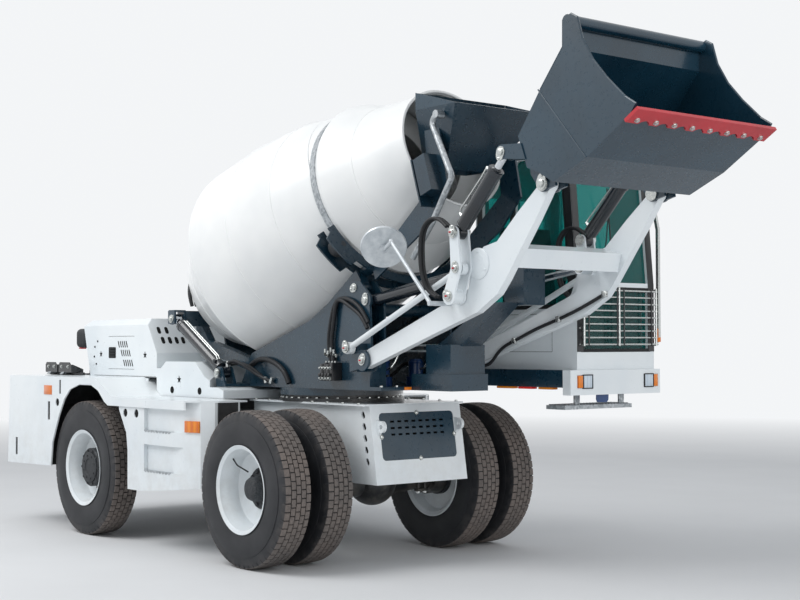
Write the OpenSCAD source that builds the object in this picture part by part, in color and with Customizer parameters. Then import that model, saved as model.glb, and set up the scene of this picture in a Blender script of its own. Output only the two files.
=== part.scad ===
// Self-loading concrete mixer truck. X points forward, Y left, Z up.
// Inside the modules the origin is the slewing axis on the ground, placed() moves it to the middle of the outline.

/* [Wheels] */
// Outer diameter of every tyre
tyre_d = 1054; // [1000:1:1070]
// Width of one tyre
tyre_w = 235; // [215:1:245]
// Diameter of the rim's flange
rim_d = 597; // [580:1:620]
// Distance between the middles of twin tyres
twin_pitch = 338; // [320:1:350]
// Distance from the centreline to the middle of the outer tyres
track_half = 994; // [985:1:1010]
// Distance between the two axles
wheelbase = 2308; // [2290:1:2330]
// Front axle ahead of the slewing axis
front_axle_x = 360; // [340:1:380]
// Distance of the kingpins from the centreline
kingpin_y = 760; // [750:1:775]

/* [Chassis] */
// Half width of the rear body over its side plates
body_half_w = 1125; // [1120:1:1135]
// Rear end of the body, behind the slewing axis
body_rear_x = 3343; // [3300:1:3380]
// Height of the rear deck
deck_z = 1240; // [1230:1:1250]
// Lower edge of the rear body
body_low_z = 490; // [460:1:520]
// Height of the fender's top face
fender_z = 1098; // [1085:1:1100]
// Height of the fender's edge band
fender_band = 66; // [50:1:80]
// Thickness of the body's plates
plate_t = 12; // [8:1:14]
// Half width of the front frame over its side plates
front_half_w = 400; // [385:1:410]
// Height of the front frame's top face
front_top_z = 1078; // [1070:1:1085]
// Lower edge of the front frame
front_low_z = 554; // [540:1:570]
// Front plate's lower edge ahead of the slewing axis
front_low_x = 925; // [915:1:940]
// Front plate's upper edge ahead of the slewing axis
front_top_x = 841; // [830:1:855]
// Radius of the bore in each tow ear
tow_bore_r = 16; // [12:1:20]

/* [Hood] */
// Half width of the engine hood
hood_half_w = 700; // [680:1:705]
// Height of the hood's top face
hood_top_z = 1706; // [1690:1:1712]
// Rear end of the hood's top
hood_rear_x = 2700; // [2680:1:2720]
// Front end of the hood's top
hood_front_x = 1642; // [1640:1:1680]
// Thickness of the hood's sheet
hood_t = 6; // [4:1:8]

/* [Slewing ring and turret] */
// Radius of the slewing ring
ring_r = 460; // [440:1:470]
// Height of the ring's lower half
ring_low_h = 44; // [40:1:46]
// Underside of the turret's deck
turret_z = 1185; // [1180:1:1190]
// Thickness of the turret's deck
turret_t = 24; // [18:1:28]
// Rear end of the turret's deck
turret_rear_x = 770; // [740:1:800]
// Thickness of the turret's upright plates
upright_t = 18; // [14:1:20]
// Inner face of the inner uprights from the centreline
upright_in_y = 285; // [280:1:287]
// Inner face of the outer uprights from the centreline
upright_out_y = 405; // [403:1:407]

/* [Drum] */
// Tilt of the drum's axis, mouth up
drum_tilt = 18; // [17.8:0.1:18.2]
// Track ring's centre ahead of the slewing axis
drum_x = 542; // [535:1:548]
// Height of the track ring's centre
drum_z = 2576; // [2570:1:2590]
// Radius of the drum at its belly
belly_r = 820; // [800:1:822]
// Radius of the track ring
band_r = 634; // [628:1:637]
// Radius of the drum's mouth
mouth_r = 413; // [400:1:425]
// Length from the track ring to the drum's rear plate
drum_rear = 1987; // [1975:1:1995]
// Length from the track ring to the drum's mouth
drum_front = 755; // [745:1:765]
// Thickness of the drum's wall
drum_t = 10; // [6:1:12]
// Radius of the drum's rollers
roller_r = 60; // [55:1:64]

/* [Loader] */
// Arm pivot ahead of the slewing axis
arm_x = 925; // [920:1:930]
// Height of the arm pivot
arm_z = 1388; // [1380:1:1395]
// Middle plane of each arm from the centreline
arm_y = 465; // [464:1:466]
// Thickness of each arm
arm_t = 56; // [50:1:58]
// Middle plane of the levelling rods and tilt cylinders
link_y = 548; // [546:1:550]
// Radius of the levelling rods
link_r = 25; // [20:1:25]
// Middle plane of the lift cylinders
lift_y = 354; // [352:1:356]
// Radius of the lift cylinders
lift_r = 42; // [38:1:43]
// Radius of the tilt cylinders
tilt_r = 45; // [38:1:46]
// Radius of the loader's pins
pin_r = 25; // [20:1:27]
// Radial clearance of a pin in its bore
pin_gap = 0.05; // [0.02:0.01:0.1]

/* [Bucket] */
// Half width of the bucket
bucket_half_w = 585; // [580:1:600]
// Thickness of the bucket's shell
bucket_t = 14; // [10:1:16]
// Thickness of the cutting edge
edge_t = 20; // [16:1:24]

/* [Cab] */
// Front face of the cab ahead of the slewing axis
cab_front_x = 1735; // [1725:1:1745]
// Rear face of the cab ahead of the slewing axis
cab_rear_x = 725; // [720:1:735]
// Inner side of the cab from the centreline
cab_in_y = 680; // [670:1:690]
// Outer side of the cab from the centreline
cab_out_y = 1450; // [1440:1:1460]
// Underside of the cab
cab_low_z = 1318; // [1310:1:1326]
// Top of the cab
cab_top_z = 2900; // [2880:1:2940]
// Thickness of the cab's walls
cab_t = 45; // [35:1:50]

/* [Clearances] */
// Distance between a piece and the face that carries it
seat_gap = 0.3; // [0.2:0.05:0.5]
// Smallest distance between pieces that move past each other
move_gap = 6; // [5:0.5:8]

/* [Hidden] */
$fn = 64;

white = [0.88, 0.90, 0.91];
slate = [0.15, 0.26, 0.30];
black = [0.08, 0.08, 0.09];
steel = [0.55, 0.57, 0.60];
blue = [0.10, 0.30, 0.55];
red = [0.78, 0.15, 0.18];
amber = [0.95, 0.50, 0.10];
teal = [0.35, 0.70, 0.68, 0.5];

wheel_r = tyre_d / 2;
rear_axle_x = front_axle_x - wheelbase;
inner_track = track_half - twin_pitch;
ring_top_z = front_top_z + 12;
ring_seat_z = ring_top_z + ring_low_h + seat_gap;
turret_top_z = turret_z + turret_t;

// Linkage points of the loader, each [x, z]
arm_pivot = [arm_x, arm_z];
rod_base = [arm_x - 95, arm_z + 82];
lever_pivot = [arm_x + 975, arm_z + 397];
lever_mid = [arm_x + 1040, arm_z + 563];
lever_top = [arm_x + 1023, arm_z + 782];
bucket_pin = [arm_x + 1715, arm_z + 1022];
tilt_eye = [arm_x + 1445, arm_z + 1224];
lift_base = [arm_x - 85, arm_z + 402];
lift_eye = [arm_x + 1185, arm_z + 587];
// Linkage points of the drum's tilting cradle, each [x, z]
cradle_pivot = [drum_x + 178, drum_z - 696];
drum_cyl_base = [drum_x - 1217, drum_z - 1286];
drum_cyl_eye = [drum_x - 1932, drum_z - 879];
drum_cyl_y = 585;
drum_cyl_r = 46;
// Inner face of the cradle's side beams
cradle_in_y = upright_in_y + upright_t + 24;

// Half the outline's size from the slewing axis, to put the origin in its middle
outline_front = bucket_pin[0] + 806;
outline_left = cab_out_y + 34;
shift_x = (body_rear_x - outline_front) / 2;
shift_y = (body_half_w - outline_left) / 2;

function arc(cx, cz, r, a0, a1, n = 12) = [for (i = [0 : n])
    let (a = a0 + (a1 - a0) * i / n) [cx + r * cos(a), cz + r * sin(a)]];
function length(a, b) = norm([b[0] - a[0], b[1] - a[1]]);
function angle(a, b) = atan2(b[1] - a[1], b[0] - a[0]);

module placed() { translate([shift_x, shift_y, 0]) children(); }

// An outline in X and Z, extruded across Y from y0 to y1
module plate(y0, y1) { translate([0, y1, 0]) rotate([90, 0, 0]) linear_extrude(y1 - y0) children(); }

// A round bar across Y from y0 to y1 at a point [x, z]
module cross_pin(p, r, y0, y1) { translate([p[0], y1, p[1]]) rotate([90, 0, 0])
    cylinder(r = r, h = y1 - y0); }

module both_sides() {
    children();
    mirror([0, 1, 0]) children();
}

// Children drawn along +X from point a, turned to point at b, in the plane y
module along(a, b, y) { translate([a[0], y, a[1]]) rotate([0, -angle(a, b), 0]) children(); }

// Angle by which a line of points turns at point i, and how much of each leg the bend takes up
function turn(line, i) = (angle(line[i], line[i + 1]) - angle(line[i - 1], line[i]) + 540) % 360 - 180;
function bend_leg(line, i, bend) = i < 1 || i > len(line) - 2 ? 0 : bend * tan(abs(turn(line, i)) / 2);

// A round bar along a line of points in X and Z, with its corners bent to a radius
module bent_bar(line, r, bend) {
    for (i = [1 : len(line) - 1]) along(line[i - 1], line[i], 0) {
        l = length(line[i - 1], line[i]);
        rod_x(r, bend_leg(line, i - 1, bend) + (i > 1 ? seat_gap : 0),
            l - bend_leg(line, i, bend) - (i < len(line) - 1 ? seat_gap : 0));
        if (i < len(line) - 1) {
            t = turn(line, i);
            translate([l - bend_leg(line, i, bend), 0, sign(t) * bend]) rotate([90, 0, 0])
                rotate_extrude(angle = abs(t), start = t > 0 ? -90 : 90 + t, $fn = 64)
                    translate([bend, 0]) circle(r = r);
        }
    }
}

module rod_x(r, x0, x1) { translate([x0, 0, 0]) rotate([0, 90, 0]) cylinder(r = r, h = x1 - x0); }

module box(x0, x1, y0, y1, z0, z1) { translate([x0, y0, z0]) cube([x1 - x0, y1 - y0, z1 - z0]); }

// Children drawn around Z are turned so that the axis points along +Y at a wheel's centre
module at_wheel(x, y, side) { translate([x, side * y, wheel_r]) rotate([-90 * side, 0, 0]) children(); }

module tyre() {
    w = tyre_w / 2;
    bead = rim_d / 2 - 24;
    rotate_extrude($fn = 96) polygon([[bead, -w + 28], [bead + 20, -w + 12], [wheel_r * 0.75, -w],
        [wheel_r - 60, -w + 4],
        [wheel_r - 14, -w + 10], [wheel_r, -w + 26], [wheel_r, w - 26], [wheel_r - 14, w - 10],
            [wheel_r - 60, w - 4],
        [wheel_r * 0.75, w], [bead + 20, w - 12], [bead, w - 28]]);
}

// A dished rim; the disc lies at d from the tyre's middle, outboard positive
module rim(d) {
    w = tyre_w / 2;
    r = rim_d / 2;
    seat = r - 24 - seat_gap;
    rotate_extrude($fn = 96) {
        polygon([[r - 36, -w + 8], [r, -w + 2], [r, -w + 8], [seat, -w + 26], [seat, w - 26], [r, w - 8],
            [r, w - 2], [r - 36, w - 8]]);
        polygon([[0, d - 16], [150, d - 16], [r - 70, d + 8], [r - 30, d + 8], [r - 30, d + 20],
            [r - 76, d + 20], [146, d - 2], [0, d - 2]]);
    }
}

module hub(d0, d1, r) { translate([0, 0, d0]) cylinder(r = r, h = d1 - d0); }

module front_tyres(side) {
    color(black) for (y = [track_half, inner_track]) at_wheel(front_axle_x, y, side) tyre();
}

module front_rims(side) {
    color(white) {
        at_wheel(front_axle_x, track_half, side) {
            rim(-58);
            hub(-78, 4, 112);
            hub(4, 44, 86);
        }
        at_wheel(front_axle_x, inner_track, side) {
            rim(-6);
            hub(-60, twin_pitch - 60, 140);
        }
    }
}

module rear_tyre(side) { color(black) at_wheel(rear_axle_x, track_half, side) tyre(); }

module rear_rim(side) {
    color(white) at_wheel(rear_axle_x, track_half, side) {
        rim(-48);
        hub(-66, 50, 152);
        hub(50, 62, 120);
    }
}

kingpin_r = 28;
axle_r = 62;

module knuckle(side) {
    color(black) {
        at_wheel(rear_axle_x, track_half, side) hub(kingpin_y + 62 - track_half, -66 - seat_gap, 105);
        translate([rear_axle_x, side * kingpin_y, 0]) {
            translate([0, 0, wheel_r + 92]) cylinder(r = 52, h = 26);
            translate([0, 0, wheel_r - 118]) cylinder(r = 52, h = 26);
            translate([0, 0, wheel_r - 118]) cylinder(r = kingpin_r - pin_gap, h = 236);
        }
        translate([rear_axle_x - 60, side * (kingpin_y + 70) - 10, wheel_r - 118]) cube([120, 20, 236]);
        for (z = [wheel_r + 92, wheel_r - 118])
            translate([rear_axle_x - 50, side * (kingpin_y + 35) - 35, z]) cube([100, 70, 26]);
    }
}

module rear_axle() {
    color(black) difference() {
        union() {
            for (side = [-1, 1]) {
                at_wheel(rear_axle_x, 0, side) cylinder(r1 = 92, r2 = axle_r, h = kingpin_y - 60);
                translate([rear_axle_x, side * kingpin_y, wheel_r - 86]) cylinder(r = 54, h = 172);
                at_wheel(rear_axle_x, kingpin_y - 70, side) cylinder(r = axle_r, h = 60);
                translate([rear_axle_x - 60, side * 470 - 40, wheel_r + 40]) cube([120, 80, 66]);
            }
            translate([rear_axle_x, 0, wheel_r]) sphere(r = 168);
        }
        for (side = [-1, 1]) translate([rear_axle_x, side * kingpin_y, wheel_r - 120])
            cylinder(r = kingpin_r, h = 240);
    }
}

module front_axle() {
    end = inner_track - tyre_w / 2 - 10;
    color(black) {
        for (side = [-1, 1]) {
            at_wheel(front_axle_x, 0, side) cylinder(r1 = 120, r2 = 84, h = end - 40);
            at_wheel(front_axle_x, end - 40, side) cylinder(r = 128,
                h = inner_track - 60 - seat_gap - end + 40);
            translate([front_axle_x - 70, side * (front_half_w - 10) - 40, wheel_r + 40])
                cube([140, 80, 690 - seat_gap - wheel_r - 40]);
        }
        translate([front_axle_x, 0, wheel_r]) sphere(r = 178);
        // The nose of the differential and the shaft back to the rear axle
        translate([front_axle_x - 290, 0, wheel_r]) rotate([0, 90, 0])
            cylinder(r1 = 62, r2 = 110, h = 160);
        translate([rear_axle_x + 168 + seat_gap, 0, wheel_r]) rotate([0, 90, 0])
            cylinder(r = 36, h = wheelbase - 168 - 280);
    }
}

// Five slanted slots in a column, as [x, z] of each slot's middle
module slot_column(x0, z0, n, pitch, lean) {
    for (i = [0 : n - 1]) translate([x0 + lean * i, z0 - pitch * i]) rotate(28)
        polygon(concat(arc(0, 9, 17, 0, 180), arc(0, -9, 17, 180, 360)));
}

module front_frame() {
    lean = (front_low_x - front_top_x) / (front_top_z - front_low_z);
    color(white) {
        both_sides() difference() {
            plate(front_half_w - plate_t, front_half_w) difference() {
                polygon([[front_low_x, front_low_z], [front_top_x, front_top_z], [-560, front_top_z],
                    [-560, 880],
                    [-60, 820], [150, 690], [570, 690], [640, front_low_z]]);
                slot_column(front_top_x - 56, front_top_z - 61, 5, 78, 12);
            }
        }
        // Top plate with its turned-down side flanges
        difference() {
            box(-560, front_top_x + 8, -front_half_w - 40, front_half_w + 40, front_top_z, ring_top_z);
            translate([0, 0, front_top_z - 1]) cylinder(r = ring_r - 150, h = 20);
        }
        // Leaning front plate with the opening for the panel
        difference() {
            plate(-front_half_w, front_half_w) polygon([[front_low_x, front_low_z],
                [front_low_x + plate_t, front_low_z],
                [front_top_x + plate_t, front_top_z], [front_top_x, front_top_z]]);
            front_outline(seat_gap, 200);
        }
        plate(-front_half_w, front_half_w) polygon([[front_low_x, front_low_z],
            [front_low_x, front_low_z + 10],
            [640, front_low_z + 10], [640, front_low_z]]);
        // Bulkhead behind the axle
        box(-560, -548, -front_half_w + plate_t, front_half_w - plate_t, 880, front_top_z);
        tow_ears();
    }
}

panel_half_w = 328;
panel_low = 160;
panel_high = 482;

// The rounded outline of the front panel, square to the leaning plate
module front_outline(grow, depth) {
    lean_a = atan2(front_low_x - front_top_x, front_top_z - front_low_z);
    translate([front_low_x + plate_t, 0, front_low_z]) rotate([0, -lean_a, 0]) translate([-depth, 0, 0])
        rotate([90, 0, 90])
        linear_extrude(depth + 20) offset(r = 30 + grow, $fn = 32)
            translate([-panel_half_w + 30, panel_low + 30])
                square([2 * panel_half_w - 60, panel_high - panel_low - 60]);
}

module front_panel() {
    lean_a = atan2(front_low_x - front_top_x, front_top_z - front_low_z);
    color(slate) translate([front_low_x + plate_t, 0, front_low_z]) rotate([0, -lean_a, 0])
        translate([-plate_t + 2, 0, 0])
        rotate([90, 0, 90]) linear_extrude(8) difference() {
            offset(r = 30, $fn = 32) translate([-panel_half_w + 30, panel_low + 30])
                square([2 * panel_half_w - 60, panel_high - panel_low - 60]);
            for (i = [-3.5 : 3.5], j = [0 : 2]) translate([i * 62, panel_high - 60 - 44 * j])
                square([34, 14], center = true);
        }
}

module tow_ears() {
    both_sides() difference() {
        plate(front_half_w - 68, front_half_w - 46) union() {
            translate([front_top_x + 76, front_top_z - 138]) circle(r = 40);
            polygon([[front_top_x + 10, front_top_z - 90], [front_top_x + 70, front_top_z - 106],
                [front_top_x + 70, front_top_z - 170], [front_top_x + 44, front_top_z - 200]]);
        }
        cross_pin([front_top_x + 78, front_top_z - 138], tow_bore_r, 0, front_half_w);
    }
}

module ring_base() {
    color(black) translate([0, 0, ring_top_z]) difference() {
        union() {
            cylinder(r = ring_r, h = ring_low_h - 20, $fn = 96);
            cylinder(r = ring_r - 40, h = ring_low_h, $fn = 96);
        }
        translate([0, 0, -1]) cylinder(r = ring_r - 140, h = ring_low_h + 2, $fn = 96);
    }
}

rail_y = 330;

module main_rails() {
    color(black) {
        both_sides() plate(rail_y - 45, rail_y + 45) polygon([[-560 - seat_gap, 1000], [-1400, 1000],
            [-2300, 1080],
            [-body_rear_x + 60, 1080], [-body_rear_x + 60, 900], [-2300, 860], [-1600, 760],
                [-560 - seat_gap, 840]]);
        for (x = [-body_rear_x + 163, -2560, -1300, -800])
            box(x, x + 90, -rail_y + 40, rail_y - 40, 900, 980);
        // Bearers under the rear deck
        for (x = [-body_rear_x + 163, -2560]) {
            box(x, x + 90, -690 + seat_gap, 690 - seat_gap, deck_z - 60, deck_z - 10 - seat_gap);
            both_sides() box(x, x + 90, rail_y - 40, rail_y + 40, 1070, deck_z - 50);
        }
        // Brackets out to the side boxes
        both_sides() for (x = [-1130, -700]) box(x, x + 80, rail_y + 40, 760 - seat_gap, 850, 930);
        both_sides() box(rear_axle_x - 90, rear_axle_x + 90, rail_y + 30, 500, wheel_r + 106 + seat_gap,
            wheel_r + 380);
    }
}

// Edge of the rear wheel arch in the side plate, from its rear foot over the top to the side box
arch_edge = [[-2494, 509], [-2468, 700], [-2350, 922], [-2256, 1057], [-2151, 1140], [-1975, 1185],
    [-1788, 1185],
    [-1660, 1140], [-1560, 1060], [-1500, fender_z - fender_band]];

// The liner stands further back than the arch's edge, so that the steered tyre clears it
arch_liner = [[-2620, body_low_z + 20], [-2620, 1000], [-2480, 1180], [-1640, 1180]];

module rear_body() {
    color(white) {
        both_sides() difference() {
            plate(body_half_w - plate_t, body_half_w) difference() {
                polygon(concat([[-body_rear_x, body_low_z], [-body_rear_x + 30, deck_z], [-1700, deck_z],
                    [-1435, fender_z], [-1435, fender_z - fender_band]],
                        [for (i = [len(arch_edge) - 1 : -1 : 0]) arch_edge[i]]));
                translate([-2345, deck_z - 138]) square([30, 112]);
                translate([-2556, deck_z - 356]) square([40, 150]);
                translate([-body_rear_x + 155, body_low_z + 73]) square([40, 147]);
                translate([-2377, deck_z - 209]) circle(r = 32);
            }
        }
        // Deck and the slope down to the fenders
        difference() {
            plate(-body_half_w + plate_t, body_half_w - plate_t)
                polygon([[-body_rear_x + 30, deck_z], [-1700, deck_z],
                [-1435, fender_z], [-1435, fender_z - 10], [-1704, deck_z - 10],
                    [-body_rear_x + 30, deck_z - 10]]);
            // Opening for the engine under its hood
            box(-2460, -1740, -560, 560, deck_z - 20, deck_z + 1);
        }
        // Rear plate
        plate(-body_half_w + plate_t, body_half_w - plate_t)
            polygon([[-body_rear_x, body_low_z], [-body_rear_x + 30, deck_z - 10],
                [-body_rear_x + 42, deck_z - 10], [-body_rear_x + 12, body_low_z]]);
        // Arch liner behind each rear wheel
        both_sides() plate(699, body_half_w - plate_t + 1)
            polygon(concat(arch_liner, [for (i = [3 : -1 : 0]) arch_liner[i] + [-8, 8]]));
        both_sides() box(-2640, -1640, 690, 700, 1000, deck_z - 9);
    }
}

box_front_x = 190;
fender_front_x = 168;
// The front corner is cut at 45 degrees by this much
corner_cut = 181;
// The box's outer face turns inward from here, by this share of the way forward
box_turn_x = 541;
box_turn = 0.26;

module side_boxes() {
    color(white) both_sides() difference() {
        union() {
            // Fender over the box, with its edge band
            box(-1435 + seat_gap, -fender_front_x, hood_half_w + 12, body_half_w, fender_z - 12,
                fender_z);
            box(-1435 + seat_gap, -fender_front_x, body_half_w - 10, body_half_w, fender_z - fender_band,
                fender_z - 11);
            side_box();
        }
        // Front corner, cut at a slant behind the wheels
        translate([0, 0, body_low_z - 100]) linear_extrude(fender_z)
            polygon([[-fender_front_x - corner_cut - 50, body_half_w + 50],
                [-fender_front_x + 50, body_half_w + 50],
                [-fender_front_x + 50, body_half_w - corner_cut - 50]]);
    }
}

module side_box() {
    top = fender_z - 12 - seat_gap;
    face = body_half_w - 14;
    difference() {
        plate(760, face) polygon([[-1345, top], [-box_front_x, top], [-box_front_x, 488], [-1000, 416],
            [-1201, 417], [-1203, 704], [-1225, 837], [-1340, 1007]]);
        translate([0, 0, 400]) linear_extrude(top) polygon([[-box_turn_x, face], [-box_turn_x, face + 50],
            [0, face + 50], [0, face - box_turn_x * box_turn]]);
        // Two foot holds, each over the edge that carries its tread
        for (z = [[868, 1032], [575, 764]]) box(-949, 0, face - 30, body_half_w, z[0], z[1]);
        for (x = [-1240, -1069]) cross_pin([x, 985], 32, body_half_w - 60, body_half_w);
    }
}

module mud_guards() {
    top = fender_z - 12 - seat_gap;
    color(black) both_sides() plate(hood_half_w + 80, body_half_w - corner_cut)
        polygon([[-189, top], [-181, top], [-181, 482], [-238, 400], [-246, 404], [-189, 486]]);
}

// The cut for the slewing turret: its radius, and the height from which it widens for the drum's leaning cylinders
hood_cut_r = 990;
hood_cone_z = 1276;
hood_cone_h = 124;
hood_cone_grow = 173;

module engine_hood() {
    low_z = deck_z + seat_gap;
    rear_low = hood_rear_x - 60;
    color(white) difference() {
        union() {
            hull() {
                box(-hood_rear_x, -hood_front_x - 30, -hood_half_w + 50, hood_half_w - 50,
                    hood_top_z - 1, hood_top_z);
                box(-hood_rear_x - 60, -hood_front_x, -hood_half_w, hood_half_w, hood_top_z - 60,
                    hood_top_z - 50);
                box(-rear_low, -1500, -hood_half_w, hood_half_w, low_z, 1432);
            }
            // Lower front part, cut round so that the turret's feet clear it
            difference() {
                plate(-hood_half_w, hood_half_w) polygon([[-1500, 1313], [-1435, 1313], [-1355, 1366],
                    [-911, 1366],
                    [-781, 1258], [-581, 1178], [-510, 1159], [-510, fender_z + seat_gap],
                    [-1434, fender_z + seat_gap], [-1500, 1140]]);
                translate([0, 0, turret_z - move_gap]) cylinder(r = hood_cut_r,
                    h = hood_cone_z - turret_z + move_gap + 1, $fn = 96);
                translate([0, 0, hood_cone_z]) cylinder(r1 = hood_cut_r,
                    r2 = hood_cut_r + hood_cone_grow, h = hood_cone_h, $fn = 96);
            }
        }
        hull() {
            box(-hood_rear_x + 10, -hood_front_x - 40, -hood_half_w + 56, hood_half_w - 56,
                hood_top_z - 10, hood_top_z - 8);
            box(-hood_rear_x - 46, -hood_front_x - 12, -hood_half_w + hood_t, hood_half_w - hood_t,
                hood_top_z - 68, hood_top_z - 60);
            box(-rear_low + 12, -1514, -hood_half_w + hood_t, hood_half_w - hood_t, low_z - 5, 1430);
        }
    }
}

module engine() {
    color(black) box(-2450, -1750, -rail_y, rail_y, 1080 + seat_gap, 1600);
}

module rear_lamps() {
    color(black) both_sides() {
        box(-3000, -2800, hood_half_w - 250, hood_half_w - 30, 1470, 1640);
        box(-2930, -2870, hood_half_w - 170, hood_half_w - 110, deck_z + seat_gap, 1480);
    }
}

module rear_rack() {
    color(black) both_sides() {
        box(-3260, -2760, 700, 820, deck_z + seat_gap, deck_z + 110);
        box(-3300, -2700, 720, 760, deck_z + seat_gap, deck_z + 30);
    }
}

// Side view of an outer upright: cradle plate, column and the ear at the arm's pivot
module upright_outline(front) {
    c = cradle_pivot;
    polygon([[-700, turret_top_z], [-560, 1430], [480, 1750], [590, c[1] + 20], [650, c[1] + 44],
        [c[0] + 60, c[1] + 44],
        [lift_base[0] + 30, lift_base[1] + 50], [lift_base[0] + 50, lift_base[1] - 60],
            [front, arm_z + 90], [front, arm_z - 60], [880, turret_top_z]]);
    translate(lift_base) circle(r = 58);
}

module turret_frame() {
    y0 = upright_out_y;
    y1 = upright_out_y + upright_t;
    ear0 = arm_y + arm_t / 2 + move_gap;
    color(slate) {
        union() {
            translate([0, 0, ring_seat_z]) difference() {
                cylinder(r = ring_r - 8, h = turret_z - ring_seat_z + 1, $fn = 96);
                translate([0, 0, -1]) cylinder(r = ring_r - 120, h = 60, $fn = 96);
            }
            difference() {
                box(-turret_rear_x, 1010, -y1, y1, turret_z, turret_top_z);
                translate([0, 0, turret_z - 1]) cylinder(r = 150, h = turret_t + 2);
            }
            both_sides() {
                plate(y0, y1) union() {
                    upright_outline(905);
                    translate(arm_pivot) circle(r = 76);
                }
                plate(upright_in_y, upright_in_y + upright_t) union() {
                    polygon([[600, turret_top_z], [600, cradle_pivot[1] + 20],
                        [650, cradle_pivot[1] + 44], [cradle_pivot[0] + 60, cradle_pivot[1] + 44],
                        [lift_base[0] + 30, lift_base[1] + 50], [lift_base[0] + 50, lift_base[1] - 60],
                            [890, 1500], [890, turret_top_z]]);
                    translate(lift_base) circle(r = 58);
                }
                // Webs that close the column at its back and lower front
                box(600, 612, upright_in_y, y1, turret_top_z, 1700);
                box(878, 890, upright_in_y, y1, turret_top_z, 1480);
                // Outer ear of the arm pivot, with the rod's seat above it
                plate(ear0, ear0 + upright_t) union() {
                    translate(arm_pivot) circle(r = 70);
                    translate(rod_base) circle(r = 44);
                    polygon([[rod_base[0] - 44, rod_base[1]], [rod_base[0] + 44, rod_base[1]],
                        [arm_x, arm_z], [arm_x - 40, arm_z - 58], [790, 1310], [786, 1470]]);
                }
                box(786, 850, y1 - 1, ear0 + 1, 1310, 1500);
                cross_pin(arm_pivot, pin_r + 10 - pin_gap, y0 + 2, ear0 + upright_t);
                cross_pin(rod_base, pin_r - pin_gap, ear0 + 2, link_y + link_r + 6);
                cross_pin(lift_base, pin_r - pin_gap, upright_in_y + 2, y0 + 2);
                cross_pin(cradle_pivot, pin_r + 8 - pin_gap, upright_in_y + 2, y0 + 2);
                cross_pin([cradle_pivot[0] - 40, cradle_pivot[1] - 150], 44, -1, upright_in_y + 1);
                // Feet of the drum's tilt cylinders
                for (y = [drum_cyl_y - 52, drum_cyl_y + 36]) plate(y, y + 16) union() {
                    translate(drum_cyl_base) circle(r = 42);
                    polygon([[drum_cyl_base[0] - 42, drum_cyl_base[1]],
                        [drum_cyl_base[0] + 42, drum_cyl_base[1]], [drum_cyl_base[0] + 90, turret_z],
                        [drum_cyl_base[0] - 44, turret_z]]);
                }
                box(drum_cyl_base[0] - 44, drum_cyl_base[0] + 90, y1 - 1, drum_cyl_y + 52, turret_z,
                    turret_z + 20);
                cross_pin(drum_cyl_base, pin_r - pin_gap, drum_cyl_y - 48, drum_cyl_y + 46);
            }
            // Console between the arms, and the frame that carries the cab
            box(1009, 1420, -160, 160, turret_z, turret_z + 110);
            box(cab_rear_x + 60, cab_rear_x + 160, y1 - 1, cab_out_y - 60, 1215, cab_low_z - seat_gap);
            box(cab_rear_x + 60, 1690, cab_in_y - 78, cab_in_y + 12, 1200, cab_low_z - seat_gap);
            box(cab_rear_x + 60, 1690, cab_out_y - 130, cab_out_y - 60, 1215, cab_low_z - seat_gap);
            box(1590, 1690, cab_in_y, cab_out_y - 60, 1205, cab_low_z - seat_gap);
        }
    }
}

module slew_motors() {
    color(blue) for (y = [-170, 130]) {
        translate([700, y, turret_top_z + seat_gap]) cylinder(r = 70, h = 60);
        translate([700, y, turret_top_z + 60]) cylinder(r = 52, h = 90);
    }
}

module oil_tank() {
    color(slate) {
        plate(100, 290) polygon([[1660, 1745], [1620, 1872], [1700, 1985], [1830, 1985], [1830, 1745]]);
        // Leaning leg down to the console
        plate(-60, 120) polygon([[1150, 1480], [1400, 1480], [1780, 1760], [1660, 1760]]);
        box(1150, 1400, -150, 150, turret_z + 110 + seat_gap, 1490);
    }
}

module valve_block() {
    color(black) box(440, 580, -upright_out_y - upright_t - 90, -upright_out_y - upright_t - seat_gap,
        turret_top_z + 30, turret_top_z + 170);
}

// The cab: side windows, front windows and the door's opening are cut from one hollow shell
front_bow = 40;
sill_z = 1400;
glass_t = 6;

module cab_side_outline(grow) {
    polygon([[cab_rear_x - grow, cab_low_z - grow], [cab_front_x + grow, cab_low_z - grow],
        [cab_front_x + grow, 1900],
        [cab_front_x - 60 + grow, 2600], [cab_front_x - 190 + grow, cab_top_z + grow],
            [cab_rear_x + 30 - grow, cab_top_z + grow], [cab_rear_x - grow, 2600]]);
}

// Windows in the inner and outer side, as outlines in X and Z
module side_window(grow) {
    offset(r = 40, $fn = 24) offset(delta = -40 + grow) polygon([[cab_rear_x + 420, 1760],
        [cab_front_x - 60, 1760], [cab_front_x - 66, 1950],
        [cab_front_x - 120, 2580], [cab_front_x - 220, 2780], [cab_rear_x + 420, 2780]]);
}

module rear_side_window(grow) {
    offset(r = 40, $fn = 24) offset(delta = -40 + grow) polygon([[cab_rear_x + 70, 1760],
        [cab_rear_x + 360, 1760], [cab_rear_x + 360, 2780], [cab_rear_x + 80, 2780]]);
}

door_x0 = cab_rear_x + 60;
door_x1 = cab_rear_x + 690;
door_z0 = sill_z;
door_z1 = 2800;
// The door turns on two pins outside the cab's wall, at these heights
hinge_y = cab_out_y + 18;
hinge_z = [1560, 2420];

module door_outline(grow) {
    offset(r = 50, $fn = 24) offset(delta = -50 + grow) translate([door_x0, door_z0])
        square([door_x1 - door_x0, door_z1 - door_z0]);
}

module door_window(grow) {
    offset(r = 40, $fn = 24) offset(delta = -40 + grow) translate([door_x0 + 60, door_z0 + 480])
        square([door_x1 - door_x0 - 120, door_z1 - door_z0 - 550]);
}

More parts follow.
